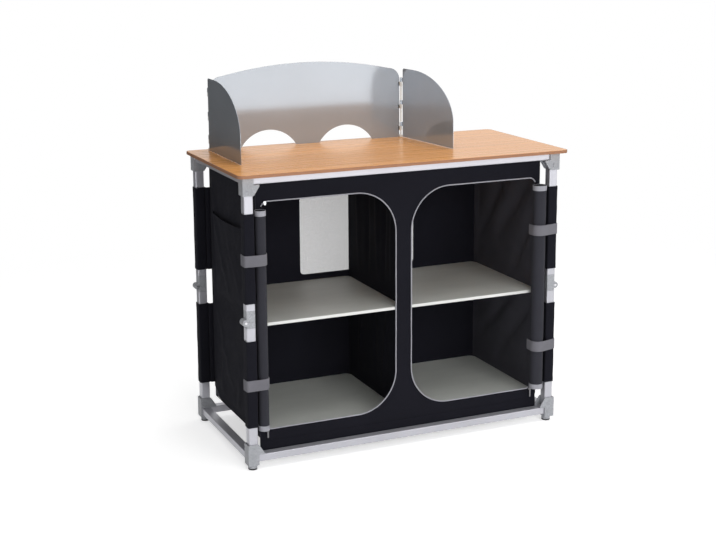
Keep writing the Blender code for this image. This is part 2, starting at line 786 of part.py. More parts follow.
def rear_screen(finish):
    crown = arch()
    right = shoulder(1, crown[0][1])
    left = shoulder(-1, crown[-1][1])
    outline = [
        (SCREEN_CENTRE - SCREEN_WIDTH / 2, SCREEN_FLOOR),
        (SCREEN_CENTRE + SCREEN_WIDTH / 2, SCREEN_FLOOR),
        *reversed(right),
        *crown,
        *left,
    ]
    front = SCREEN_BEHIND - SHEET / 2
    back = SCREEN_BEHIND + SHEET / 2
    panel = prism(outline, "Y", front, back)
    arch_radius = ((ARCH_WIDTH / 2) ** 2 + ARCH_HEIGHT**2) / (2 * ARCH_HEIGHT)
    for side in (-1, 1):
        centre = (
            SCREEN_CENTRE + side * ARCH_FROM_CENTRE,
            SCREEN_FLOOR + ARCH_HEIGHT - arch_radius,
        )
        panel = cut(panel, bar(centre, arch_radius, "Y", front - TUBE, back + TUBE, 48))
    for side, hinge in ((-1, LEFT_HINGE), (1, RIGHT_HINGE)):
        edge = hinge - side * (HINGE_SIDE + SHEET)
        low_x, high_x = min(hinge, edge), max(hinge, edge)
        rings = loops(hinge, HINGE_Y, 0, (low_x, front), (high_x, back))
        panel = cut(joined(panel, *rings), rod_bore(hinge, HINGE_Y))
    return in_frame(panel, "windscreen_rear", finish)


def wing():
    """The wing at the right hinge at rest, straight forward from an axis at the origin.

    Its sheet lies HINGE_FRONT to the outside of the axis.
    """
    bottom = SCREEN_FLOOR + WING_LIFT
    top = SCREEN_FLOOR + WING_TOP
    reach = WING_WIDTH - WING_FLAT
    drop = WING_TOP - WING_SHOULDER
    steps = 14
    edge = []
    for step in range(steps + 1):
        turn = math.pi / 2 * step / steps
        edge.append((
            -WING_FLAT - reach * math.sin(turn),
            top - drop * (1 - math.cos(turn)),
        ))
    outline = [
        (-WING_WIDTH, bottom),
        (-WING_EDGE, bottom),
        *rounded([
            (-WING_EDGE, top - drop, 0),
            (-WING_EDGE, top, WING_REAR_CORNER),
            (-WING_FLAT, top, 0),
        ])[1:-1],
        *edge,
    ]
    low_x = HINGE_FRONT - SHEET / 2
    high_x = HINGE_FRONT + SHEET / 2
    sheet = prism(outline, "X", low_x, high_x)
    start = LOOP_HEIGHT + LOOP_GAP
    rings = loops(0, 0, start, (low_x, -WING_EDGE - SHEET), (high_x, 0))
    return cut(joined(sheet, *rings), rod_bore(0, 0))


def hinge_rod(x):
    top = SCREEN_FLOOR + ROD_TOP
    rod = bar((x, HINGE_Y), ROD_RADIUS, "Z", TABLE_HEIGHT - ROD_DEPTH, top, SMALL_ROUND)
    foot = bar((x, HINGE_Y), ROD_FOOT_RADIUS, "Z", SCREEN_FLOOR, SCREEN_FLOOR + ROD_FOOT_HEIGHT)
    return joined(rod, foot)


def wings(finish):
    left = placed(to_left(wing()), "windscreen_wing_left", finish, (LEFT_HINGE, HINGE_Y + FRAME_Y, 0))
    right = placed(wing(), "windscreen_wing_right", finish, (RIGHT_HINGE, HINGE_Y + FRAME_Y, 0))
    right.rotation_euler.z = RIGHT_WING_SPLAY
    return [left, right]


def hinge_rods(finish):
    return [
        in_frame(hinge_rod(LEFT_HINGE), "windscreen_rod_left", finish),
        in_frame(hinge_rod(RIGHT_HINGE), "windscreen_rod_right", finish),
    ]


def main():
    for existing in list(bpy.data.objects):
        bpy.data.objects.remove(existing)
    aluminium = material("aluminium", (0.62, 0.63, 0.66), 0.35, 0.9)
    grey_plastic = material("grey_plastic", (0.36, 0.37, 0.39), 0.5)
    dark_rubber = material("dark_rubber", (0.07, 0.07, 0.07), 0.8)
    steel = material("steel", (0.6, 0.6, 0.6), 0.3, 1.0)
    black_fabric = material("black_fabric", (0.012, 0.012, 0.016), 0.85)
    grey_fabric = material("grey_fabric", (0.045, 0.045, 0.052), 0.85)
    grey_mesh = material("grey_mesh", (0.45, 0.45, 0.46), 0.8)
    wood = material("wood", (0.72, 0.40, 0.17), 0.45)
    edging = material("dark_edging", (0.22, 0.12, 0.07), 0.5)
    shelf = material("grey_board", (0.30, 0.31, 0.28), 0.6)
    screen = material("polished_aluminium", (0.66, 0.67, 0.70), 0.2, 1.0)
    bottom_brackets(grey_plastic)
    feet(dark_rubber)
    rails("bottom", BOTTOM_RAIL_UNDERSIDE, aluminium)
    legs(aluminium, grey_plastic, steel)
    top_brackets(grey_plastic)
    rails("top", TOP_RAIL_UNDERSIDE, aluminium)
    tabletop(wood, edging)
    front_panel(black_fabric)
    side_walls(black_fabric)
    back_and_floor(black_fabric, grey_mesh)
    divider(black_fabric)
    door_rolls(grey_fabric)
    shelves(shelf)
    rear_screen(screen)
    wings(screen)
    hinge_rods(steel)


main()
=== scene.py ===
"""Dresses the folding camping cupboard: board, tubes, castings, cloth, shelves and windscreen.

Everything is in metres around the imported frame: +X to the right, the doors face -Y, +Z up.
Each operator models one piece, or one group of like pieces, in place of the plain solids.
"""

import math

import bmesh
import bpy
import numpy as np
from bpy.props import FloatProperty, FloatVectorProperty, PointerProperty
from mathutils import Matrix, Vector, noise


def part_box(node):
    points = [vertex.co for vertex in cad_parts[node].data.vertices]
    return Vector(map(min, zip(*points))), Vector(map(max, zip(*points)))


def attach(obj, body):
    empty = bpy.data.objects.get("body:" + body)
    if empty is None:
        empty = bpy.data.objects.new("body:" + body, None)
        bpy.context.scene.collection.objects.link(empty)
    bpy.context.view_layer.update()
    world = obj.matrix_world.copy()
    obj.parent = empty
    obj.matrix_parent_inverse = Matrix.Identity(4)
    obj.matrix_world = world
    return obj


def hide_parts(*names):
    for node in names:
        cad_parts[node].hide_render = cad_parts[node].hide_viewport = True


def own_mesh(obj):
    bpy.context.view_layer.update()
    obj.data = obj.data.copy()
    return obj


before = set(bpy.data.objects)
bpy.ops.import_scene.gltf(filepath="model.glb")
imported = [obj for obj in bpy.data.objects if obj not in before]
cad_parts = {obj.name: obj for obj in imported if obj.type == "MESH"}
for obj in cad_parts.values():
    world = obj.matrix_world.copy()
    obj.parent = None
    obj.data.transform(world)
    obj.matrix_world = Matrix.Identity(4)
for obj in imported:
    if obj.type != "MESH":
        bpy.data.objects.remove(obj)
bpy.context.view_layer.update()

bl_info = {
    "name": "Camping Cupboard",
    "version": (1, 0, 0),
    "blender": (4, 5, 0),
    "location": "View3D > Sidebar > Cupboard",
    "description": "Dresses a folding camping cupboard: board, tubes, castings, cloth and windscreen",
    "category": "Add Mesh",
}

MILLIMETRE = 0.001
CORNERS = ("front_left", "front_right", "rear_left", "rear_right")
SIDES = {"left": -1, "right": 1}
LEVELS = {"bottom": "base", "top": "top"}
X, Y, Z = range(3)


# Places read from the frame

def heights(node):
    return tuple(corner.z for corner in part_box(node))


FRAME_Y = (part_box("lower_leg_tube_front_left")[0].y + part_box("lower_leg_tube_rear_left")[1].y) / 2
PANEL_LOW, PANEL_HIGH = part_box("cabinet_front_panel")
BACK_LOW, BACK_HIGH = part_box("cabinet_back_and_floor")
MIDDLE_BOARD = heights("middle_shelf_left")
FLOOR_BOARD = heights("floor_shelf_left")
FLOOR_CLOTH = FLOOR_BOARD[0]
TABLE_TOP = heights("tabletop")[1]

# Sizes of the cloth cupboard that its pieces share
CUPBOARD_X = 0.427
CENTRE_STRIP = 0.047
DOOR_SIDE = 0.412
DOOR_LOW = 0.098
DOOR_HIGH = 0.719
DOOR_CORNER = 0.115
DOOR_OUTER_CORNER = 0.020
WINDOW = ((-0.155, 0.410), (0.215, 0.645))
WINDOW_CORNER = 0.012
SLEEVE_HEIGHTS = {"lower": (0.119, 0.356), "upper": (0.457, 0.695)}
WALL_KEEP = 0.055
ROLL_OUTSIDE = 0.4352
ROLL_RADII = {-1: 0.0157, 1: 0.0205}
ROLL_HEIGHTS = (0.105, 0.700)
STRAP_MIDDLES = {"lower": 0.234, "upper": 0.572}
STRAP_WIDTH = 0.030


# Sizes and colours that a user would change

def shade(red, green, blue):
    """A colour given as it shows on a screen, from 0 to 255, as light."""
    return tuple((value / 255) ** 2.2 for value in (red, green, blue))


def colour_choice(name, description, screen):
    return FloatVectorProperty(
        name=name, description=description, subtype="COLOR", size=3, min=0, max=1,
        default=shade(*screen),
    )


def length_choice(name, description, default):
    return FloatProperty(
        name=name, description=description, unit="LENGTH", precision=4, min=0, default=default,
    )


class CupboardSizes(bpy.types.PropertyGroup):
    """Thicknesses and softened edges of the dressed pieces."""

    cloth: length_choice("Cloth", "Thickness of the coated cloth", 0.0010)
    cell: length_choice("Cloth cell", "Spacing of the points of a cloth panel", 0.0065)
    piping: length_choice("Piping", "Radius of the piping round the doorways", 0.0017)
    sheet_edge: length_choice("Sheet edge", "Rounding of the windscreen's edges", 0.0003)
    casting_edge: length_choice("Casting edge", "Rounding of the moulded castings", 0.0006)
    tube_corner: length_choice("Tube corner", "Rounding of the leg tubes", 0.0030)
    rail_corner: length_choice("Rail corner", "Rounding of the rails", 0.0020)
    shelf_band: length_choice("Shelf band", "Thickness of the bright band round a shelf", 0.0009)


class CupboardColours(bpy.types.PropertyGroup):
    """Colours of the finishes, as they show under plain light."""

    wood: colour_choice("Wood", "Wood-look laminate of the board", (224, 156, 87))
    edging: colour_choice("Edging", "Band round the board", (150, 104, 74))
    aluminium: colour_choice("Aluminium", "Anodised tubes and rails", (180, 180, 187))
    screen: colour_choice("Windscreen", "Rolled aluminium sheet", (158, 164, 171))
    # Painted light: the right wing is a lighter, bluer copy of the windscreen's colour, standing in
    # for the brighter reflection it shows.
    wing_painted_light: colour_choice("Right wing", "Rolled sheet of the right wing", (170, 179, 189))
    plastic: colour_choice("Castings", "Speckled grey nylon", (156, 158, 163))
    rubber: colour_choice("Rubber", "Pads under the feet", (60, 60, 62))
    steel: colour_choice("Steel", "Pins and rods", (205, 205, 208))
    # Painted shade: a darker copy of the zip pulls' metal for the two lower pulls; the top pull keeps
    # the bright steel.
    pull: colour_choice("Zip pulls", "Darker metal of the hanging zip pulls", (118, 117, 120))
    cloth: colour_choice("Cloth", "Black coated polyester", (33, 33, 39))
    # Partly painted light: the lining is lighter than the cloth to stand in for the light falling on
    # the inside of the right wall, besides the lighter coated side of the cloth.
    lining: colour_choice("Lining", "Coated inside of the side walls", (77, 76, 83))
    door: colour_choice("Door cloth", "Rolled doors", (58, 58, 64))
    trim: colour_choice("Trim", "Piping and door binding", (172, 172, 180))
    strap: colour_choice("Straps", "Webbing straps", (128, 127, 134))
    net: colour_choice("Net", "Mesh of the rear window", (196, 196, 198))
    shelf: colour_choice("Shelf", "Laminate of the shelf boards", (203, 205, 200))
    band: colour_choice("Shelf band", "Bright band round a shelf", (224, 225, 222))


def sizes():
    return bpy.context.scene.cupboard_sizes


def colours():
    return bpy.context.scene.cupboard_colours


# Finishes

WHITE = (1, 1, 1, 1)
EVEN = (1.0, 1.0, 1.0)


class Nodes:
    """A node tree whose nodes are added and joined by name."""

    def __init__(self, tree):
        self.nodes, self.links = tree.nodes, tree.links

    def fill(self, node, **inputs):
        """Joins a node's inputs, or sets them where a plain value is given."""
        for key, value in inputs.items():
            socket = key.replace("_", " ")
            if socket not in node.inputs:
                setattr(node, key, value)
            elif isinstance(value, bpy.types.NodeSocket):
                self.links.new(value, node.inputs[socket])
            else:
                node.inputs[socket].default_value = value
        return node

    def add(self, kind, **inputs):
        return self.fill(self.nodes.new(kind), **inputs)

    def chain(self, operation, result, *others):
        """Several values put together, two at a time, by one kind of sum."""
        for other in others:
            node = self.add("ShaderNodeMath", operation=operation)
            self.links.new(result, node.inputs[0])
            self.links.new(other, node.inputs[1])
            result = node.outputs["Value"]
        return result

    def mix(self, share, first, second):
        """One shader fading into another."""
        node = self.add("ShaderNodeMixShader", Fac=share)
        self.links.new(first, node.inputs[1])
        self.links.new(second, node.inputs[2])
        return node.outputs["Shader"]

    def seen_rays(self):
        """1 where the background is looked at, straight or in metal, and 0 where it only lights."""
        path = self.add("ShaderNodeLightPath").outputs
        return self.chain(
            "MAXIMUM", path["Is Camera Ray"], path["Is Glossy Ray"], path["Is Transmission Ray"]
        )


class Finish(Nodes):
    """A material with its own colour, roughness and relief."""

    def __init__(self, name, colour, roughness, metallic=0.0):
        self.material = bpy.data.materials.new(name)
        self.material.use_nodes = True
        super().__init__(self.material.node_tree)
        self.shader = self.nodes["Principled BSDF"]
        self.colour = (*colour, 1.0)
        self.fill(self.shader, Base_Color=self.colour, Roughness=roughness, Metallic=metallic)

    def place(self, scale=EVEN, output="Object"):
        """Texture coordinates, stretched: output is Object or UV."""
        source = self.add("ShaderNodeTexCoord").outputs[output]
        return self.add("ShaderNodeMapping", Vector=source, Scale=scale).outputs["Vector"]

    def noise(self, place, scale, detail=3.0, roughness=0.5):
        return self.add(
            "ShaderNodeTexNoise", Vector=place, Scale=scale, Detail=detail, Roughness=roughness
        ).outputs["Fac"]

    def cells(self, place, scale):
        """A random value in each cell of a pattern."""
        cells = self.add("ShaderNodeTexVoronoi", Vector=place, Scale=scale)
        return self.add("ShaderNodeSeparateColor", Color=cells.outputs["Color"]).outputs["Red"]

    def span(self, value, low, high, from_low=0.3, from_high=0.7):
        """A value stretched to run from low to high."""
        return self.add(
            "ShaderNodeMapRange", Value=value, From_Min=from_low, From_Max=from_high,
            To_Min=low, To_Max=high,
        ).outputs["Result"]

    def tones(self, value, *stops):
        """Colours along a ramp, given as (place, brightness of the finish's own colour)."""
        ramp = self.add("ShaderNodeValToRGB", Fac=value)
        while len(ramp.color_ramp.elements) < len(stops):
            ramp.color_ramp.elements.new(0.5)
        for element, (where, factor) in zip(ramp.color_ramp.elements, stops):
            element.position = where
            element.color = (*(min(1.0, channel * factor) for channel in self.colour[:3]), 1.0)
        return ramp.outputs["Color"]

    def done(self, tone, roughness, height, distance):
        """Gives the material its colour, its roughness and the relief of its surface."""
        bump = self.add("ShaderNodeBump", Height=height, Distance=distance, Strength=1.0)
        self.fill(
            self.shader, Base_Color=tone, Roughness=roughness, Normal=bump.outputs["Normal"]
        )
        return self.material


def wood_laminate():
    """Narrow lengthwise staves in slightly different tones, with fine grain drawn along X."""
    finish = Finish("wood laminate", colours().wood, 0.28)
    stave = finish.cells(finish.place((1.4, 38.0, 1.0)), 1.0)
    grain = finish.noise(finish.place((2.0, 150.0, 30.0)), 1.0, 6.0, 0.62)
    fine = finish.noise(finish.place((9.0, 900.0, 90.0)), 1.0, 4.0, 0.6)
    mixed = finish.chain(
        "ADD", finish.span(stave, 0.0, 0.40, 0.0, 1.0), finish.span(grain, 0.0, 0.38),
        finish.span(fine, 0.0, 0.26),
    )
    tone = finish.tones(mixed, (0.12, 0.76), (0.40, 0.95), (0.62, 1.04), (0.92, 1.2))
    return finish.done(tone, finish.span(grain, 0.22, 0.34), fine, 0.00002)


def grained(
    name, colour, roughness, metallic=0.0, grain=(EVEN, 400.0), cloud=(EVEN, 14.0, 2.0),
    tones=(0.93, 1.05), spread=(0.06, 0.06), depth=0.00004
):
    """A fine grain that roughens and bumps the surface, under a wide cloud of tones.

    Grain and cloud are given as (stretch, scale, detail), tones and spread as (least, most).
    """
    finish = Finish(name, colour, roughness, metallic)
    fine, wide = (finish.noise(finish.place(way), *rest) for way, *rest in (grain, cloud))
    tone = finish.tones(wide, (0.3, tones[0]), (0.7, tones[1]))
    rough = finish.span(fine, roughness - spread[0], roughness + spread[1])
    return finish.done(tone, rough, fine, depth)


def anodised():
    """Extruded aluminium: fine die lines along the tube and a satin bloom."""
    return grained(
        "anodised frame", colours().aluminium, 0.34, 0.42, ((60.0, 60.0, 60.0), 6.0, 4.0),
        ((9.0, 9.0, 9.0), 1.0, 2.0), (0.95, 1.04), (0.05, 0.06), 0.00002,
    )


def rolled_sheet(name, colour, lean):
    """Grey rolled aluminium: a dull mirror, faintly brushed, that leans as a thin sheet bows."""
    finish = Finish(name, colour, 0.12, 0.35)
    brushed = finish.noise(finish.place((4.0, 4.0, 700.0)), 1.0, 4.0, 0.6)
    cloud = finish.noise(finish.place((7.0, 7.0, 7.0)), 1.0, 3.0)
    height = finish.add("ShaderNodeSeparateXYZ", Vector=finish.place()).outputs["Z"]
    tone = finish.tones(cloud, (0.3, 0.96), (0.7, 1.03))
    return finish.done(tone, finish.span(brushed, 0.08, 0.16), height, lean)


def speckled_plastic():
    """Glass-filled nylon: pale and dark specks in grey, with a moulded grain."""
    finish = Finish("speckled plastic", colours().plastic, 0.5)
    specks = finish.cells(finish.place(), 620.0)
    grain = finish.noise(finish.place(), 900.0, 2.0)
    tone = finish.tones(specks, (0.0, 0.78), (0.3, 0.96), (0.75, 1.04), (1.0, 1.28))
    return finish.done(tone, finish.span(grain, 0.42, 0.58), grain, 0.00005)


def bright_metal(name, colour, roughness):
    """Bare metal with a very fine grain."""
    return grained(name, colour, roughness, 1.0, (EVEN, 700.0), depth=0.00001)


def shelf_laminate():
    """Matt laminate with a fine pebble and faint clouding."""
    return grained(
        "shelf laminate", colours().shelf, 0.5, 0.0, (EVEN, 520.0), ((1.0, 3.0, 1.0), 6.0, 4.0),
        (0.95, 1.04), (0.10, 0.06),
    )


def woven(name, colour, roughness, threads, depth, sheen=0.0, wear=0.06):
    """Plain weave on the cloth's own UV map, which is in metres: threads to the metre."""
    finish = Finish(name, colour, roughness)
    place = finish.place((threads, threads, 1.0), "UV")
    warp, weft = (
        finish.add(
            "ShaderNodeTexWave", bands_direction=way, Vector=place, Scale=0.5, Distortion=0.4
        ).outputs["Fac"]
        for way in "XY"
    )
    cloud = finish.noise(finish.place(), 9.0, 4.0)
    thread = finish.noise(place, 1.0, 2.0)
    uneven = finish.chain("ADD", finish.span(cloud, 0.0, 0.6), finish.span(thread, 0.0, 0.4))
    tone = finish.tones(uneven, (0.0, 1 - 2 * wear), (0.5, 1.0), (1.0, 1 + 3 * wear))
    finish.fill(
        finish.shader, Specular_IOR_Level=0.05, Sheen_Weight=sheen, Sheen_Roughness=0.4
    )
    rough = finish.span(cloud, roughness - 0.05, roughness + 0.05)
    return finish.done(tone, rough, finish.chain("ADD", warp, weft), depth)


def open_net():
    """Fine netting: square meshes cut out of pale thread."""
    finish = Finish("open net", colours().net, 0.7)
    checks = finish.noise(finish.place((620.0, 1.0, 620.0)), 1.0, 1.0)
    finish.fill(finish.shader, Alpha=finish.span(checks, 0.34, 0.46, 0.35, 0.65))
    return finish.done(finish.colour, finish.span(checks, 0.6, 0.8), checks, 0.00005)


class Finishes:
    """Every material of the cupboard, made once."""

    made = {}

    @classmethod
    def get(cls, name):
        if name not in cls.made:
            cls.made[name] = FINISH_MAKERS[name]()
        return cls.made[name]


FINISH_MAKERS = {
    "wood": wood_laminate,
    "edging": lambda: grained("edge band", colours().edging, 0.45),
    "frame": anodised,
    "screen": lambda: rolled_sheet("rolled sheet", colours().screen, 0.055),
    # Painted light: the right wing's lighter, bluer copy of the rolled sheet.
    "wing_painted_light": lambda: rolled_sheet("splayed sheet", colours().wing_painted_light, -0.04),
    "plastic": speckled_plastic,
    "rubber": lambda: grained("rubber", colours().rubber, 0.8),
    "steel": lambda: bright_metal("steel", colours().steel, 0.3),
    # Painted shade: the darker copy of the zip metal for the lower pulls.
    "pull": lambda: bright_metal("zip metal with painted shade", colours().pull, 0.35),
    "cloth": lambda: woven("coated cloth", colours().cloth, 0.82, 1700.0, 0.00010, 0.02),
    # Partly painted light: the lighter lining stands in for light on the inner walls as well as the
    # coated side.
    "lining": lambda: woven("lining with painted light", colours().lining, 0.55, 1700.0, 0.00006, 0.02),
    "door": lambda: woven("door cloth", colours().door, 0.75, 1500.0, 0.00012, 0.05),
    "trim": lambda: woven("trim tape", colours().trim, 0.75, 1200.0, 0.00015),
    "strap": lambda: woven("webbing", colours().strap, 0.80, 700.0, 0.00030, 0.1),
    "net": open_net,
    "shelf": shelf_laminate,
    "band": lambda: grained("shelf band", colours().band, 0.4),
}
HARD_FINISHES = (
    "wood", "edging", "frame", "screen", "wing_painted_light", "plastic", "steel", "pull", "band", "shelf",
)


# Modelling by hand: selecting, shaping and finishing

EDIT_KINDS = {"EDGE": (False, True, False), "FACE": (False, False, True)}
WELD = 0.00001
NEARLY_FLAT = 0.5


def hold(piece):
    """Leaves a piece as the one selected and active."""
    bpy.ops.object.select_all(action="DESELECT")
    piece.select_set(True)
    bpy.context.view_layer.objects.active = piece


def open_up(piece):
    hold(piece)
    bpy.ops.object.mode_set(mode="EDIT")
    bpy.ops.mesh.select_all(action="DESELECT")


def pick(piece, kind, test):
    """Selects, in edit mode, the edges or faces that pass a test."""
    bpy.context.tool_settings.mesh_select_mode = EDIT_KINDS[kind]
    bpy.ops.mesh.select_all(action="DESELECT")
    work = bmesh.from_edit_mesh(piece.data)
    for item in work.edges if kind == "EDGE" else work.faces:
        if test(item):
            item.select_set(True)
    work.select_flush_mode()
    bmesh.update_edit_mesh(piece.data)


def close_up():
    bpy.ops.object.mode_set(mode="OBJECT")


def runs_along(axis):
    """A test for the edges that run along an axis."""
    def test(edge):
        way = (edge.verts[1].co - edge.verts[0].co).normalized()
        return abs(way[axis]) > 0.999
    return test


def looks_along(axis, sign=0):
    """A test for the faces that look along an axis, either way where sign is 0."""
    def test(face):
        return face.normal[axis] * sign > 0.999 if sign else abs(face.normal[axis]) > 0.999
    return test


def settled(name):
    """Names the piece that was just added and puts its place into its mesh."""
    piece = bpy.context.active_object
    piece.name = name
    hold(piece)
    bpy.ops.object.transform_apply(location=True, rotation=True, scale=True)
    return piece


def block(name, low, high):
    """A box from corner to corner, to be shaped."""
    low, high = Vector(low), Vector(high)
    bpy.ops.object.select_all(action="DESELECT")
    bpy.ops.mesh.primitive_cube_add(size=1, location=(low + high) / 2)
    bpy.context.active_object.scale = high - low
    return settled(name)


def rod(name, centre, low, high, radius, sides=24):
    """An upright round bar, to be shaped."""
    bpy.ops.object.select_all(action="DESELECT")
    bpy.ops.mesh.primitive_cylinder_add(
        vertices=sides, radius=radius, depth=high - low, location=(*centre.xy, (low + high) / 2),
    )
    return settled(name)


def bevel(piece, test, width, segments=2):
    """Rounds the edges that pass a test."""
    open_up(piece)
    pick(piece, "EDGE", test)
    bpy.ops.mesh.bevel(offset=width, segments=segments, affect="EDGES", clamp_overlap=True)
    close_up()


def inset(piece, test, *steps):
    """Insets the faces that pass a test, step by step, each (thickness, depth)."""
    open_up(piece)
    pick(piece, "FACE", test)
    for thickness, depth in steps:
        bpy.ops.mesh.inset(thickness=thickness, depth=depth)
    close_up()


def apply_modifier(piece, kind, **settings):
    hold(piece)
    bpy.ops.object.modifier_add(type=kind)
    step = piece.modifiers[-1]
    for key, value in settings.items():
        setattr(step, key, value)
    bpy.ops.object.modifier_apply(modifier=step.name)


def soften(piece, width, segments=2, angle=32):
    """Rounds every edge sharper than the angle."""
    apply_modifier(
        piece, "BEVEL", width=width, segments=segments, limit_method="ANGLE",
        angle_limit=math.radians(angle), use_clamp_overlap=True,
    )


def thicken(piece, thickness, offset=0.0):
    apply_modifier(
        piece, "SOLIDIFY", thickness=thickness, offset=offset, use_even_offset=True,
    )


def cut_away(piece, tool):
    """Cuts one piece with another, which is used up."""
    apply_modifier(piece, "BOOLEAN", operation="DIFFERENCE", solver="EXACT", object=tool)
    bpy.data.objects.remove(tool)


def joined(first, *others):
    """Several pieces made one object."""
    hold(first)
    for piece in others:
        piece.select_set(True)
    bpy.ops.object.join()
    return first


def rounded_block(low, high, corner, segments):
    """A box with its four upright edges rounded."""
    piece = block("block", low, high)
    bevel(piece, runs_along(Z), corner, segments)
    return piece


def open_band(low, high, corner, segments):
    """A rounded box without its top and bottom, to be thickened inwards."""
    piece = rounded_block(low, high, corner, segments)
    open_up(piece)
    pick(piece, "FACE", looks_along(Z))
    bpy.ops.mesh.delete(type="FACE")
    close_up()
    return piece


def weld(piece, flat_angle=None):
    """Joins points that lie together, merges nearly flat faces and turns all faces outwards."""
    open_up(piece)
    bpy.ops.mesh.select_all(action="SELECT")
    bpy.ops.mesh.remove_doubles(threshold=WELD)
    if flat_angle:
        bpy.ops.mesh.dissolve_limited(angle_limit=math.radians(flat_angle))
    bpy.ops.mesh.normals_make_consistent(inside=False)
    close_up()


def finished(piece, name, finish, body, replaces=(), angle=35):
    """Names a piece, smooths it, gives it its material and lets it ride on its body."""
    piece.name = name
    piece.data.name = name
    hold(piece)
    bpy.ops.object.shade_smooth_by_angle(angle=math.radians(angle))
    if finish in HARD_FINISHES:
        apply_modifier(piece, "WEIGHTED_NORMAL", mode="FACE_AREA", weight=100, keep_sharp=True)
    piece.data.materials.clear()
    piece.data.materials.append(Finishes.get(finish))
    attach(piece, body)
    if replaces:
        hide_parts(*replaces)
    return piece


def refined(node, name, finish, body, edge, angle=40):
    """Finishes a welded copy of one of the frame's solids, with softened edges, in its place."""
    piece = bpy.data.objects.new(node + "_finished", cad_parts[node].data.copy())
    bpy.context.scene.collection.objects.link(piece)
    piece.data.materials.clear()
    weld(piece, NEARLY_FLAT)
    soften(piece, edge, 2, angle)
    return finished(piece, name, finish, body, [node])


# Cloth

SMOOTH_CLOTH = 60


def sewn(
    piece, name, flat, held, rests_on, replaces=(), foot=None, keep=WALL_KEEP,
    finish="cloth", slot="black_fabric", body="base", **area
):
    """Finishes a piece of cloth: names and smooths it, gives it its material and lets it ride on its
    body.

    Where a foot is given, the piece gets a mesh of its own.
    """
    finished(piece, name, finish, body, replaces, SMOOTH_CLOTH)
    if foot is not None:
        flattened(piece, foot, keep)


def flattened(piece, foot, keep):
    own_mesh(piece)


def smooth_step(value, start, end):
    """0 before start, 1 after end, with a smooth rise between."""
    share = min(1.0, max(0.0, (value - start) / (end - start)))
    return share * share * (3 - 2 * share)


def held_edges(along, length, near, far):
    """0 at both sewn edges of a length of cloth, and 1 away from them by near and by far."""
    return smooth_step(along, 0, near) * (1 - smooth_step(along, length - far, length))


def fold_height(point, folds):
    """The height of the listed folds at a point of a flat cut.

    Each fold is (start, end, width, height): a ridge that fades out at both ends.
    """
    total = 0.0
    for start, end, width, height in folds:
        way = (end[0] - start[0], end[1] - start[1])
        length = way[0] ** 2 + way[1] ** 2
        share = ((point[0] - start[0]) * way[0] + (point[1] - start[1]) * way[1]) / length
        if 0 < share < 1:
            off = abs((point[0] - start[0]) * way[1] - (point[1] - start[1]) * way[0])
            off /= math.sqrt(length) * width
            if off < 3:
                total += height * math.exp(-off * off) * math.sin(math.pi * share) ** 0.6
    return total


def crumple(point, size, height):
    """Small uneven wrinkles."""
    place = Vector((point[0] / size, point[1] / size, 3.7 * size))
    return height * noise.noise(place)


def cloth(width, height, place, thickness=None, cell=None):
    """A cut of cloth: place turns a point of the flat cut, in metres, into its place.

    The UV map reads in metres of cloth.
    """
    cell = cell or sizes().cell
    bpy.ops.object.select_all(action="DESELECT")
    bpy.ops.mesh.primitive_grid_add(
        x_subdivisions=max(2, round(width / cell)), y_subdivisions=max(2, round(height / cell)),
        size=1,
    )
    piece = bpy.context.active_object
    for point in piece.data.vertices:
        point.co = place((point.co.x + 0.5) * width, (point.co.y + 0.5) * height)
    layer = piece.data.uv_layers.active.data
    flat = np.zeros(len(layer) * 2, np.float32)
    layer.foreach_get("uv", flat)
    flat = flat.reshape(-1, 2) * (width, height)
    layer.foreach_set("uv", flat.ravel())
    thicken(piece, thickness or sizes().cloth)
    return piece


def line_mesh(points, closed, **settings):
    """A curve through points, made a mesh."""
    curve = bpy.data.curves.new("line", "CURVE")
    for key, value in settings.items():
        setattr(curve, key, value)
    line = curve.splines.new("POLY")
    line.points.add(len(points) - 1)
    for item, point in zip(line.points, points):
        item.co = (*point, 1)
    line.use_cyclic_u = closed
    piece = bpy.data.objects.new("line", curve)
    bpy.context.scene.collection.objects.link(piece)
    hold(piece)
    bpy.ops.object.convert(target="MESH")
    return bpy.context.active_object


def arc(centre, radius, start, end, steps):
    """Points of a flat arc, with the angles in degrees."""
    turns = [math.radians(start + (end - start) * step / steps) for step in range(steps + 1)]
    return [(centre[0] + radius * math.cos(t), centre[1] + radius * math.sin(t)) for t in turns]


def straight(start, end, steps):
    """Points between two ends, without the ends."""
    way = (end[0] - start[0], end[1] - start[1])
    return [
        (start[0] + way[0] * step / steps, start[1] + way[1] * step / steps)
        for step in range(1, steps)
    ]


def plate(outline, thickness, edge, to_space):
    """A flat sheet with rounded edges from its outline, placed by to_space, a 4x4 matrix."""
    piece = line_mesh(
        [(*point, 0) for point in outline], True, dimensions="2D", fill_mode="BOTH",
        extrude=thickness / 2 - edge, bevel_depth=edge, bevel_resolution=1, offset=-edge,
    )
    piece.data.transform(to_space)
    weld(piece)
    return piece


# Board

class CUPBOARD_OT_tabletop(bpy.types.Operator):
    """Model the wood-faced board and the band round it"""

    bl_idname = "cupboard.tabletop"
    bl_label = "Tabletop"

    corner = 0.018
    corner_steps = 10
    band = 0.0015
    face_edge = 0.0006
    band_edge = 0.0004

    def execute(self, context):
        board = rounded_block(*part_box("tabletop"), self.corner - self.band, self.corner_steps)
        soften(board, self.face_edge)
        finished(board, "board", "wood", "top", ["tabletop"])
        strip = open_band(*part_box("tabletop_edging"), self.corner, self.corner_steps)
        thicken(strip, self.band, -1.0)
        soften(strip, self.band_edge)
        finished(strip, "board_edging", "edging", "top", ["tabletop_edging"])
        return {"FINISHED"}


# Rails and legs

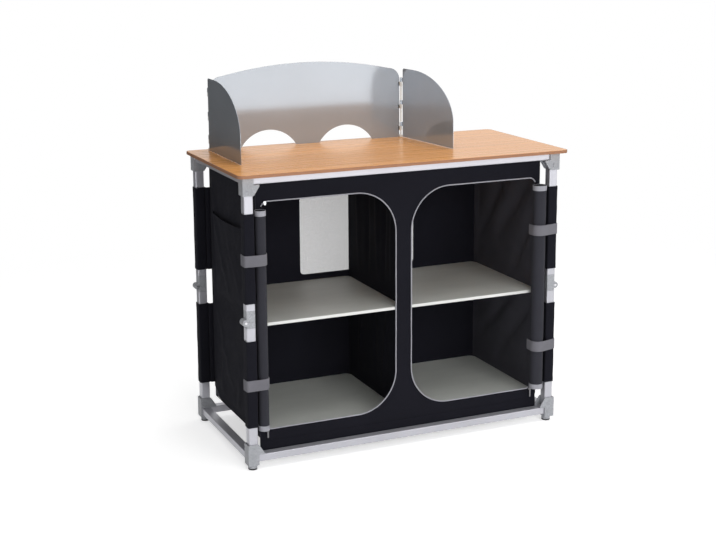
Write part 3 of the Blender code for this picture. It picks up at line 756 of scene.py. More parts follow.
def tube(node, axis, corner, wall, depth):
    """A square tube in place of a node, with its corners rounded and its ends hollow."""
    piece = block(node, *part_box(node))
    bevel(piece, runs_along(axis), corner, 4)
    open_up(piece)
    pick(piece, "FACE", looks_along(axis))
    bpy.ops.mesh.inset(thickness=wall, depth=0, use_individual=True)
    bpy.ops.mesh.extrude_region_shrink_fatten(TRANSFORM_OT_shrink_fatten={"value": -depth})
    close_up()
    return piece


class CUPBOARD_OT_rails(bpy.types.Operator):
    """Model the eight rails that join the corners"""

    bl_idname = "cupboard.rails"
    bl_label = "Rails"

    wall = 0.0015
    hollow = 0.018

    def execute(self, context):
        for level, body in LEVELS.items():
            for side, axis in {"front": X, "rear": X, "left": Y, "right": Y}.items():
                node = f"{level}_rail_{side}"
                piece = tube(node, axis, sizes().rail_corner, self.wall, self.hollow)
                finished(piece, f"{side}_{level}_rail", "frame", body, [node])
        return {"FINISHED"}


class CUPBOARD_OT_legs(bpy.types.Operator):
    """Model the leg tubes, the two halves of each knee and the knee pins"""

    bl_idname = "cupboard.legs"
    bl_label = "Legs"

    wall = 0.0015
    hollow = 0.010

    def execute(self, context):
        edge = sizes().casting_edge
        for corner in CORNERS:
            for half in SLEEVE_HEIGHTS:
                body = f"leg_{corner}_{half}"
                node = f"{half}_leg_tube_{corner}"
                piece = tube(node, Z, sizes().tube_corner, self.wall, self.hollow)
                finished(piece, f"{half}_tube_{corner}", "frame", body, [node])
                refined(
                    f"{half}_knuckle_{corner}", f"{half}_knee_half_{corner}",
                    "plastic", body, edge,
                )
            refined(
                f"knee_pin_{corner}", f"knee_rivet_{corner}", "steel",
                f"leg_{corner}_lower", edge / 2,
            )
        return {"FINISHED"}


class CUPBOARD_OT_castings(bpy.types.Operator):
    """Model the eight corner castings"""

    bl_idname = "cupboard.castings"
    bl_label = "Corner castings"

    def execute(self, context):
        for level, body in LEVELS.items():
            for corner in CORNERS:
                refined(
                    f"{level}_bracket_{corner}", f"{level}_casting_{corner}",
                    "plastic", body, sizes().casting_edge,
                )
        return {"FINISHED"}


class CUPBOARD_OT_feet(bpy.types.Operator):
    """Model the four feet, each a grey stem on a rubber pad"""

    bl_idname = "cupboard.feet"
    bl_label = "Feet"

    pad_height = 0.0045
    waist = 0.0015
    edge = 0.0008
    sides = 32

    def execute(self, context):
        for corner in CORNERS:
            node = f"foot_{corner}"
            low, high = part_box(node)
            centre = (low + high) / 2
            radius = (high.x - low.x) / 2
            pad = rod("pad", centre, 0, self.pad_height, radius, self.sides)
            inset(pad, looks_along(Z, -1), (radius * 0.3, 0), (radius * 0.12, -self.edge))
            soften(pad, self.edge)
            finished(pad, f"foot_pad_{corner}", "rubber", "base", [node])
            top = heights(f"bottom_bracket_{corner}")[0]
            stem = rod("stem", centre, self.pad_height, top, radius, self.sides)
            inset(stem, looks_along(Z, 1), (self.waist, 0), (self.waist / 2, self.edge))
            soften(stem, self.edge / 2)
            finished(stem, f"foot_stem_{corner}", "plastic", "base", [node])
        return {"FINISHED"}


# Shelves

class CUPBOARD_OT_shelves(bpy.types.Operator):
    """Model the four shelf boards, each with a bright band round it"""

    bl_idname = "cupboard.shelves"
    bl_label = "Shelf boards"

    corner = 0.020
    corner_steps = 8
    edge = 0.0004

    def execute(self, context):
        band = sizes().shelf_band
        inside = Vector((band, band, 0))
        for level, body in {"floor": "base", "middle": "middle_shelves"}.items():
            for side in SIDES:
                node = f"{level}_shelf_{side}"
                low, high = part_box(node)
                board = rounded_block(
                    low + inside, high - inside, self.corner - band, self.corner_steps
                )
                soften(board, self.edge)
                finished(board, f"{level}_board_{side}", "shelf", body, [node])
                strip = open_band(low, high, self.corner, self.corner_steps)
                thicken(strip, band, -1.0)
                finished(strip, f"{level}_band_{side}", "band", body, [node])
        return {"FINISHED"}


# Cloth cupboard

CUT_REACH = 0.02
PANEL_FADE = (0.37, 0.41)
BOARD_FADE = (0.006, 0.045)
PANEL_FOLDS = (
    ((-0.40, 0.742), (-0.05, 0.748), 0.012, -0.0010),
    ((-0.30, 0.760), (0.10, 0.770), 0.010, 0.0008),
    ((0.05, 0.752), (0.40, 0.738), 0.012, -0.0010),
    ((-0.016, 0.66), (-0.012, 0.20), 0.008, 0.0010),
    ((0.012, 0.62), (0.016, 0.14), 0.007, -0.0010),
    ((-0.10, 0.715), (-0.02, 0.640), 0.014, 0.0014),
    ((0.10, 0.715), (0.02, 0.640), 0.014, 0.0014),
    ((-0.38, 0.082), (0.30, 0.084), 0.008, 0.0008),
)


def panel_relief(x, z):
    """How far the front panel stands forward of its plane; it is flat at both sides."""
    fade = 1 - smooth_step(abs(x), *PANEL_FADE)
    return fade * (fold_height((x, z), PANEL_FOLDS) + crumple((x, z), 0.055, 0.0009))


def door_outline(side):
    """The sewn edge of a doorway, from the roll's top round to the roll's foot."""
    near, far, low, high = CENTRE_STRIP / 2, DOOR_SIDE, DOOR_LOW, DOOR_HIGH
    big, small = DOOR_CORNER, DOOR_OUTER_CORNER
    path = arc((far - small, high - small), small, 20, 90, 6)
    path += straight((far - small, high), (near + big, high), 12)
    path += arc((near + big, high - big), big, 90, 180, 24)
    path += straight((near, high - big), (near, low + big), 16)
    path += arc((near + big, low + big), big, 180, 270, 24)
    path += straight((near + big, low), (far - small, low), 12)
    path += arc((far - small, low + small), small, 270, 340, 6)
    return [(side * x, z) for x, z in path]


def door_cutter(side):
    """A block with the doorway's rounded outline, to cut the panel with."""
    near, far = side * CENTRE_STRIP / 2, side * DOOR_SIDE
    tool = block(
        "doorway", (min(near, far), PANEL_LOW.y - CUT_REACH, DOOR_LOW),
        (max(near, far), PANEL_LOW.y + CUT_REACH, DOOR_HIGH),
    )
    through = runs_along(Y)
    for x, corner, segments in ((near, DOOR_CORNER, 24), (far, DOOR_OUTER_CORNER, 6)):
        bevel(
            tool, lambda e: through(e) and abs(e.verts[0].co.x - x) < MILLIMETRE, corner, segments
        )
    return tool


class CUPBOARD_OT_front_panel(bpy.types.Operator):
    """Model the front panel with its two doorways, hem and piping"""

    bl_idname = "cupboard.front_panel"
    bl_label = "Front panel"

    keep = 0.115
    hem = 0.0345
    hem_thickness = 0.0006
    hem_proud = 0.0008
    hem_bulge = 0.0003
    piping_proud = 0.4
    cloth_share = 0.30

    def execute(self, context):
        low, high = PANEL_LOW, PANEL_HIGH
        width, height = high.x - low.x, high.z - low.z
        plane = (low.y + high.y) / 2

        def place(u, v):
            x, z = low.x + u, low.z + v
            return Vector((x, plane - panel_relief(x, z), z))

        def hem_place(u, v):
            x, z = low.x + u, low.z + v
            proud = self.hem_proud + self.hem_bulge * math.sin(math.pi * v / self.hem)
            return Vector((x, low.y - panel_relief(x, z) - proud, z))

        panel = cloth(width, height, place)
        for side in SIDES.values():
            cut_away(panel, door_cutter(side))
        sewn(
            panel, "cupboard_front", (width, height), "stretched", "bottom_rail_front",
            ["cabinet_front_panel"], low.z, self.keep, area=self.cloth_share * width * height,
        )
        hem = cloth(width, self.hem, hem_place, self.hem_thickness)
        sewn(
            hem, "cupboard_front_hem", (width, self.hem), "stretched", "cupboard_front",
            (), low.z, self.keep,
        )
        for name, side in SIDES.items():
            front = low.y - sizes().piping * self.piping_proud
            path = [(x, front - panel_relief(x, z), z) for x, z in door_outline(side)]
            piping = line_mesh(
                path, False, dimensions="3D", bevel_depth=sizes().piping, bevel_resolution=3,
                use_fill_caps=True,
            )
            finished(
                piping, f"door_piping_{name}", "trim", "base", (), SMOOTH_CLOTH
            )
            flattened(piping, low.z, self.keep)
        return {"FINISHED"}


WALL_FOLDS = {
    "left": (
        ((-0.14, 0.78), (0.10, 0.60), 0.016, 0.004),
        ((0.17, 0.70), (0.02, 0.40), 0.014, 0.004),
        ((-0.15, 0.36), (0.14, 0.24), 0.018, 0.005),
        ((-0.12, 0.30), (0.16, 0.12), 0.016, 0.004),
        ((0.15, 0.36), (0.02, 0.16), 0.013, 0.003),
        ((-0.05, 0.24), (-0.02, 0.10), 0.012, 0.003),
        ((0.09, 0.27), (0.11, 0.11), 0.012, 0.003),
    ),
    "right": (
        ((-0.17, 0.77), (0.07, 0.50), 0.026, 0.010),
        ((-0.17, 0.66), (-0.02, 0.40), 0.020, 0.009),
        ((-0.02, 0.77), (0.17, 0.48), 0.024, 0.008),
        ((0.17, 0.76), (0.02, 0.62), 0.016, 0.005),
        ((-0.165, 0.60), (-0.12, 0.40), 0.016, 0.007),
        ((-0.17, 0.37), (0.06, 0.14), 0.024, 0.010),
        ((-0.06, 0.37), (0.16, 0.18), 0.020, 0.008),
        ((-0.16, 0.26), (-0.08, 0.10), 0.014, 0.005),
    ),
}


def clear_of_boards(z):
    """1 away from the shelf boards and 0 beside them, where the cloth lies against their ends."""
    away = 1.0
    for low, high in (MIDDLE_BOARD, FLOOR_BOARD):
        away *= smooth_step(abs(z - (low + high) / 2), *BOARD_FADE)
    return away


class CUPBOARD_OT_side_walls(bpy.types.Operator):
    """Model the two side walls with their flaps to the legs, and their linings"""

    bl_idname = "cupboard.side_walls"
    bl_label = "Side walls"

    width = BACK_HIGH.y - PANEL_LOW.y
    height = BACK_HIGH.z - FLOOR_CLOTH
    bulge = 0.0035
    notch = 0.055
    notch_rise = 0.0275
    lining_rise = 0.004
    lining_inwards = 0.0014
    lining_thickness = 0.0004
    plane = CUPBOARD_X - 0.0008
    fade = 0.03
    foot_fade = 0.02
    notch_start = 0.012
    notch_height = 0.16
    both_flaps = 0.04
    flap_cell = 0.004
    flap_plane = CUPBOARD_X - 0.0006
    flap_start = 0.0008
    flap_lap = 0.0085
    flap_off_tube = 0.0024

    @classmethod
    def reach(cls, y, z, up, folds):
        """How far from the cupboard's middle a wall stands; up is the height above its foot."""
        edges = held_edges(y - PANEL_LOW.y, cls.width, cls.fade, cls.fade)
        edges *= held_edges(up, cls.height, cls.foot_fade, cls.fade)
        relief = fold_height((y, z), folds) + crumple((y, z), 0.07, 0.0022)
        relief += crumple((y, z), 0.028, 0.0008) + cls.bulge
        return cls.plane + edges * clear_of_boards(z) * relief

    def wall(self, side, folds, rise, inwards=0.0, thickness=None):
        """One wall, or its lining, with the foot of its rear edge cut up to clear the casting."""
        def place(u, v):
            y, z = PANEL_LOW.y + u, FLOOR_CLOTH + v
            rear = smooth_step(y, BACK_HIGH.y - self.notch - self.notch_start, BACK_HIGH.y)
            z += rise * rear * (1 - smooth_step(v, 0.0, self.notch_height))
            return Vector((side * (self.reach(y, z, v, folds) - inwards), y, z))

        return cloth(self.width, self.height, place, thickness)

    def flap(self, name, side, end, low, high):
        """The strip that sews a wall to a leg's sleeve."""
        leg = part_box(f"lower_leg_tube_{end}_{name}")
        sign = -1 if end == "front" else 1
        start_y = FRAME_Y + sign * (BACK_HIGH.y - FRAME_Y - self.flap_start)
        end_y = (leg[0].y + leg[1].y) / 2 - sign * self.flap_lap
        start_x = self.flap_plane
        end_x = min(abs(leg[0].x), abs(leg[1].x)) - self.flap_off_tube
        width = abs(end_x - start_x) + abs(end_y - start_y)

        def place(u, v):
            share = u / width
            x = start_x + (end_x - start_x) * min(1, share * 1.6)
            y = start_y + (end_y - start_y) * max(0, (share - 0.45) / 0.55)
            x += crumple((y, v), 0.03, 0.0006) * share * (1 - share) * 4
            return Vector((side * x, y, low + v))

        return cloth(width, high - low, place, cell=self.flap_cell)

    def execute(self, context):
        for name, side in SIDES.items():
            folds = WALL_FOLDS[name]
            wall = self.wall(side, folds, self.notch_rise)
            flaps = [
                self.flap(name, side, end, *span)
                for end in ("front", "rear")
                for span in SLEEVE_HEIGHTS.values()
            ]
            sewn(
                joined(wall, *flaps), f"cupboard_wall_{name}",
                (self.width + self.both_flaps, self.height), "hung", f"top_rail_{name}",
                [f"cabinet_{name}_wall"], FLOOR_CLOTH,
            )
            # The lining's lighter colour is partly painted light on the inner walls.
            lining = self.wall(
                side, folds, self.lining_rise, self.lining_inwards, self.lining_thickness
            )
            sewn(
                lining, f"cupboard_lining_{name}", (self.width, self.height), "hung",
                f"cupboard_wall_{name}", (), FLOOR_CLOTH, finish="lining",
            )
        return {"FINISHED"}


class CUPBOARD_OT_pocket(bpy.types.Operator):
    """Model the pouch on the left wall, with its slack mouth and bound edge"""

    bl_idname = "cupboard.pocket"
    bl_label = "Side pocket"

    front = -0.0993
    bottom = 0.400
    width = 0.1507 - front
    height = 0.636 - bottom
    gusset = 0.02
    depth = 0.0125
    sewn_stand = 0.0012
    least_stand = 0.0014
    pressed = 0.86
    sag = 0.007
    binding = 0.014
    binding_thickness = 0.0008
    binding_cell = 0.0035
    binding_proud = 0.0009
    binding_lip = 0.0006
    folds = (
        ((-0.07, 0.42), (0.04, 0.62), 0.012, 0.002),
        ((0.12, 0.43), (0.02, 0.56), 0.010, 0.002),
        ((-0.08, 0.50), (-0.02, 0.62), 0.010, -0.0015),
    )

    def surface(self, u, v, proud=0.0):
        """A point of the pouch: it stands off the wall most at the middle of its mouth."""
        across = math.sin(math.pi * u / self.width) ** 0.5 if 0 < u < self.width else 0
        up = v / self.height
        y = self.front + u
        z = self.bottom + v - self.sag * across * up ** 3
        slack = (self.depth - self.sewn_stand) * across * (0.15 + 0.85 * up ** 1.5)
        wrinkle = fold_height((y, z), self.folds) + crumple((y, z), 0.04, 0.0012)
        stand = self.sewn_stand + slack + across * wrinkle
        wall = CUPBOARD_OT_side_walls.reach(y, z, z - FLOOR_CLOTH, WALL_FOLDS["left"])
        return Vector((-(wall + max(stand, self.least_stand) * self.pressed + proud), y, z))

    def bound_edge(self, u, v):
        up = self.height - self.binding + v + self.binding_lip
        return self.surface(u, up, self.binding_proud)

    def execute(self, context):
        pouch = cloth(self.width, self.height, self.surface)
        sewn(
            pouch, "side_pocket", (self.width + self.gusset, self.height), "hung",
            "cupboard_wall_left", ["cabinet_left_wall"], FLOOR_CLOTH,
        )
        band = cloth(
            self.width, self.binding, self.bound_edge, self.binding_thickness, self.binding_cell
        )
        sewn(
            band, "side_pocket_band", (self.width + self.gusset, self.binding), "stretched",
            "side_pocket", (), FLOOR_CLOTH,
        )
        return {"FINISHED"}


class CUPBOARD_OT_sleeves(bpy.types.Operator):
    """Model the eight cloth tunnels round the legs"""

    bl_idname = "cupboard.sleeves"
    bl_label = "Sleeves"

    clearance = 0.0006
    wall = 0.0012
    wall_cut = 0.7
    corner = 0.0040
    rows = 26
    swell = 0.0011
    fade = 0.02
    hem = 0.010
    hem_proud = 0.0005

    def execute(self, context):
        outer = self.clearance + self.wall
        for corner in CORNERS:
            for half, (low_z, high_z) in SLEEVE_HEIGHTS.items():
                low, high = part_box(f"{half}_leg_tube_{corner}")
                piece = open_band(
                    (low.x - outer, low.y - outer, low_z), (high.x + outer, high.y + outer, high_z),
                    self.corner, 4,
                )
                open_up(piece)
                pick(piece, "EDGE", runs_along(Z))
                bpy.ops.mesh.subdivide(number_cuts=self.rows)
                close_up()
                self.wrinkle(piece, (low + high) / 2, low_z, high_z)
                thicken(piece, self.wall * self.wall_cut, -1.0)
                self.lay_map(piece)
                sewn(
                    piece, f"{half}_sleeve_{corner}",
                    (4 * (high.x - low.x + 2 * outer), high_z - low_z), "stretched",
                    f"{half}_tube_{corner}", [f"cabinet_{corner.split('_')[1]}_wall"],
                    body=f"leg_{corner}_{half}",
                )
        return {"FINISHED"}

    def wrinkle(self, piece, middle, low_z, high_z):
        """Pushes the sleeve outwards by small uneven amounts, most between its hems."""
        for point in piece.data.vertices:
            out = Vector((point.co.x - middle.x, point.co.y - middle.y, 0))
            up, length = point.co.z - low_z, high_z - low_z
            place = Vector((point.co.x * 40 + middle.y * 9, point.co.y * 40, point.co.z * 26))
            swell = max(0.0, noise.noise(place)) * self.swell
            swell *= held_edges(up, length, self.fade, self.fade)
            hemmed = min(up, length - up) < self.hem
            point.co += out.normalized() * (swell + (self.hem_proud if hemmed else 0.0))

    def lay_map(self, piece):
        """A UV map in metres, wrapped round the leg."""
        layer = piece.data.uv_layers.active or piece.data.uv_layers.new()
        for loop in piece.data.loops:
            point = piece.data.vertices[loop.vertex_index].co
            layer.data[loop.index].uv = (point.x + point.y, point.z)


class CUPBOARD_OT_back(bpy.types.Operator):
    """Model the back with its mesh window, and the cloth floor"""

    bl_idname = "cupboard.back"
    bl_label = "Back and floor"

    window_hem = 0.02
    window_calm = 0.25
    window_fade = 0.05
    middle_fade = 0.02
    side_fade = (0.39, 0.42)
    top_fade = 0.03
    floor_cell = 0.012
    net_cell = 0.010
    net_thickness = 0.0005

    def relief(self, x, z):
        """How far the back stands rearwards of its plane; it is calmer round the window."""
        (left, foot), (right, top) = WINDOW
        hem = self.window_hem
        if left - hem < x < right + hem and foot - hem < z < top + hem:
            calm = self.window_calm
        else:
            calm = smooth_step(min(abs(x - left), abs(x - right)), 0, self.window_fade)
        edges = smooth_step(abs(x), 0, self.middle_fade)
        edges *= 1 - smooth_step(abs(x), *self.side_fade)
        edges *= 1 - smooth_step(z, BACK_HIGH.z - self.top_fade, BACK_HIGH.z)
        wrinkle = crumple((x, z), 0.09, 0.004) + crumple((x, z), 0.035, 0.0012)
        return calm * edges * clear_of_boards(z) * wrinkle

    def execute(self, context):
        low, high = BACK_LOW, BACK_HIGH
        width, height = high.x - low.x, high.z - low.z
        plane = high.y - 0.0008

        def place(u, v):
            x, z = low.x + u, low.z + v
            return Vector((x, plane + self.relief(x, z), z))

        back = cloth(width, height, place)
        (left, foot), (right, top) = WINDOW
        tool = block(
            "window", (left, plane - CUT_REACH, foot), (right, plane + CUT_REACH, top)
        )
        bevel(tool, runs_along(Y), WINDOW_CORNER, 6)
        cut_away(back, tool)
        sewn(
            back, "cupboard_back", (width, height), "hung", "top_rail_rear",
            ["cabinet_back_and_floor"], low.z,
            area=width * height - (right - left) * (top - foot),
        )
        self.floor()
        self.window()
        return {"FINISHED"}

    def floor(self):
        low = Vector((BACK_LOW.x, PANEL_HIGH.y + 0.0006, BACK_LOW.z))
        high = Vector((BACK_HIGH.x, BACK_HIGH.y - 0.0022, FLOOR_CLOTH))
        width, length = high.x - low.x, high.y - low.y
        plane = (low.z + high.z) / 2 - 0.0003

        def place(u, v):
            return Vector((low.x + u, low.y + v, plane + min(0.0, crumple((u, v), 0.06, 0.0012))))

        floor = cloth(width, length, place, cell=self.floor_cell)
        sewn(
            floor, "cupboard_floor", (width, length), "stretched", "bottom_rail_left",
            ["cabinet_back_and_floor"],
        )

    def window(self):
        low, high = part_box("rear_mesh_window")
        width, height = high.x - low.x, high.z - low.z
        plane = high.y - 0.0003

        def place(u, v):
            return Vector((low.x + u, plane + crumple((u, v), 0.12, 0.0004), low.z + v))

        net = cloth(width, height, place, self.net_thickness, self.net_cell)
        sewn(
            net, "window_net", (width, height), "stretched", "cupboard_back",
            ["rear_mesh_window"], BACK_LOW.z, finish="net", slot="grey_mesh",
        )


class CUPBOARD_OT_divider(bpy.types.Operator):
    """Model the upright cloth between the two compartments"""

    bl_idname = "cupboard.divider"
    bl_label = "Divider"

    fade = 0.02
    folds = (
        ((-0.15, 0.77), (-0.13, 0.42), 0.010, 0.0045),
        ((-0.11, 0.78), (-0.10, 0.44), 0.009, -0.004),
        ((-0.06, 0.78), (-0.05, 0.42), 0.011, 0.0045),
        ((0.00, 0.78), (-0.01, 0.44), 0.011, -0.004),
        ((0.06, 0.78), (0.06, 0.42), 0.012, 0.005),
        ((0.13, 0.78), (0.12, 0.42), 0.012, -0.004),
        ((-0.15, 0.35), (-0.12, 0.11), 0.012, 0.004),
        ((-0.08, 0.36), (-0.04, 0.11), 0.012, -0.004),
        ((0.02, 0.36), (0.00, 0.12), 0.013, 0.004),
        ((0.10, 0.36), (0.12, 0.12), 0.012, -0.004),
    )

    def execute(self, context):
        low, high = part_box("cabinet_divider")
        width, height = high.y - low.y, high.z - low.z

        def place(u, v):
            y, z = low.y + u, low.z + v
            edges = held_edges(u, width, self.fade, self.fade)
            relief = fold_height((y, z), self.folds) + crumple((y, z), 0.05, 0.0018)
            return Vector((edges * clear_of_boards(z) * relief, y, z))

        sewn(
            cloth(width, height, place), "cupboard_divider", (width, height), "hung",
            "top_rail_front", ["cabinet_divider"], low.z,
        )
        return {"FINISHED"}


# Rolled doors

class CUPBOARD_OT_doors(bpy.types.Operator):
    """Model the two rolled doors with their bound ends, straps and zip pulls"""

    bl_idname = "cupboard.doors"
    bl_label = "Rolled doors"

    turns = 6
    core = 0.0035
    off_panel = 0.0011
    roll_start = math.pi * 0.42
    lumps = 0.035
    pinch = 0.05
    pinch_reach = 0.022
    thickness = 0.0009
    cell = 0.0034
    binding = 0.014
    binding_thickness = 0.0008
    binding_lap = 1.08
    binding_slack = 1.15
    binding_proud = 0.0009
    end_lip = 0.0004
    strap = 0.0014
    strap_cell = 0.003
    strap_edge = 0.0003
    strap_tilt = 0.0012
    strap_corner = 0.005
    strap_off = 0.0006
    strap_off_side = 0.0004
    strap_seam = 0.0015
    bridge = Vector((0.008, 0.0002))
    round_leg = 0.014
    past_leg = 0.0008
    sleeve = 0.0024
    keep = 0.01
    folded_foot = 0.0419
    slider = Vector((0.004, 0.0016, 0.005))
    slider_off = 0.0042
    tab_half = 0.0021

    def middle(self, side):
        return ROLL_OUTSIDE - ROLL_RADII[side], PANEL_LOW.y - ROLL_RADII[side] - self.off_panel

    def spiral(self, side, length_share, z, swell=0.0):
        """A point of the rolled cloth: length_share runs from its core to its free edge."""
        turn = length_share * self.turns * math.tau
        full = ROLL_RADII[side] - self.thickness - self.core
        radius = self.core + full * length_share + swell
        lumps = noise.noise(Vector((math.cos(turn) * 1.7, math.sin(turn) * 1.7, z * 9)))
        pinch = sum(
            math.exp(-((z - middle) / self.pinch_reach) ** 2) for middle in STRAP_MIDDLES.values()
        )
        radius *= 1 + self.lumps * lumps * length_share - self.pinch * pinch
        middle_x, middle_y = self.middle(side)
        return Vector((
            side * (middle_x - radius * math.cos(turn + self.roll_start)),
            middle_y + radius * math.sin(turn + self.roll_start), z,
        ))

    def fitted(self, piece, name, flat, held, rests_on, replaces=(), finish="trim"):
        """Finishes a piece that belongs with the rolls, in the trim finish unless another is given.
        """
        sewn(
            piece, name, flat, held, rests_on, replaces, self.folded_foot, self.keep,
            finish, "grey_fabric",
        )

    def roll(self, name, side):
        low, high = ROLL_HEIGHTS
        width = self.turns * math.tau * (self.core + ROLL_RADII[side]) / 2
        piece = cloth(
            width, high - low, lambda u, v: self.spiral(side, u / width, low + v),
            self.thickness, self.cell,
        )
        self.fitted(
            piece, f"rolled_door_{name}", (width, high - low), "folded", "cupboard_front",
            [f"door_roll_{name}"], "door",
        )
        wrap = width / self.turns * self.binding_slack
        share = self.binding_lap / self.turns
        ends = {"foot": low - self.end_lip, "top": high - self.binding + self.end_lip}
        for end, start in ends.items():
            def place(u, v):
                return self.spiral(side, 1 - share + share * u / wrap, start + v, self.binding_proud)

            band = cloth(wrap, self.binding, place, self.binding_thickness, self.cell)
            self.fitted(
                band, f"door_binding_{end}_{name}",
                (math.tau * ROLL_RADII[side] * self.binding_lap, self.binding), "stretched",
                f"rolled_door_{name}",
            )

    def strap_path(self, name, side):
        """The strap seen from above: round the roll's front and the outside of the leg."""
        leg_low, leg_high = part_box(f"lower_leg_tube_front_{name}")
        outside = max(abs(leg_low.x), abs(leg_high.x)) + self.sleeve + self.strap_off
        front = leg_low.y - self.sleeve - self.strap_off
        radius, corner = ROLL_RADII[side], self.strap_corner
        middle_x, middle_y = self.middle(side)
        inside = middle_x - radius - self.strap_off_side
        roll_front = middle_y - radius - self.strap_off
        path = [(inside, PANEL_LOW.y - self.strap_seam)]
        path += arc((middle_x, middle_y), middle_x - inside, 180, 262, 10)
        path += [(middle_x + self.bridge.x, min(roll_front, front) + self.bridge.y)]
        path += arc((outside - corner, front + corner), corner, 270, 360, 6)
        path += [(outside, front + self.round_leg), (outside, leg_high.y + self.past_leg)]
        return [Vector((side * x, y, 0)) for x, y in path]

    def straps(self, name, side):
        path = self.strap_path(name, side)
        lengths = [0.0]
        for first, second in zip(path, path[1:]):
            lengths.append(lengths[-1] + (second - first).length)
        length = lengths[-1]

        def at(distance):
            index = max(i for i in range(len(path) - 1) if lengths[i] <= distance + 1e-9)
            share = (distance - lengths[index]) / (lengths[index + 1] - lengths[index])
            return path[index].lerp(path[index + 1], min(1.0, share))

        for level, middle in STRAP_MIDDLES.items():
            tilt = self.strap_tilt * side * (1 if level == "upper" else -1)

            def place(u, v):
                spot = at(min(u, length))
                rise = tilt * math.sin(math.pi * u / length)
                return Vector((spot.x, spot.y, middle - STRAP_WIDTH / 2 + v + rise))

            strap = cloth(length, STRAP_WIDTH, place, self.strap, self.strap_cell)
            soften(strap, self.strap_edge, 1, 60)
            self.fitted(
                strap, f"{level}_strap_{name}", (length, STRAP_WIDTH), "stretched",
                f"rolled_door_{name}", (), "strap",
            )

    def zip_pull(self, name, x, z, hang, finish):
        """A slider on the piping with its pull tab."""
        middle = Vector((x, PANEL_LOW.y - self.slider_off, z))
        slider = block("slider", middle - self.slider, middle + self.slider)
        inset(slider, looks_along(Y, -1), (0.0014, 0.0008))
        soften(slider, 0.0007)
        tab = block(
            "tab", middle - Vector((self.tab_half, 0.0028, hang)),
            middle + Vector((self.tab_half, -0.0018, -0.002)),
        )
        bevel(tab, runs_along(Y), 0.0017, 4)
        inset(tab, looks_along(Y, -1), (0.0010, -0.0003))
        soften(tab, 0.0002, 1)
        piece = joined(slider, tab)
        finished(piece, f"zip_pull_{name}", finish, "base")
        flattened(piece, PANEL_LOW.z, CUPBOARD_OT_front_panel.keep)

    def execute(self, context):
        for name, side in SIDES.items():
            self.roll(name, side)
            self.straps(name, side)
        self.zip_pull("left_top", -0.4010, 0.7160, 0.006, "steel")
        # Painted shade: the two lower pulls take the darker copy of the zip metal; the top pull keeps
        # the bright steel.
        self.zip_pull("left_foot", -0.4045, 0.0975, 0.022, "pull")
        self.zip_pull("right_foot", 0.4045, 0.0990, 0.026, "pull")
        return {"FINISHED"}


# Windscreen

SCREEN_BASE = TABLE_TOP + 0.0003
UPRIGHT = Matrix(((1, 0, 0, 0), (0, 0, -1, 0), (0, 1, 0, 0), (0, 0, 0, 1)))


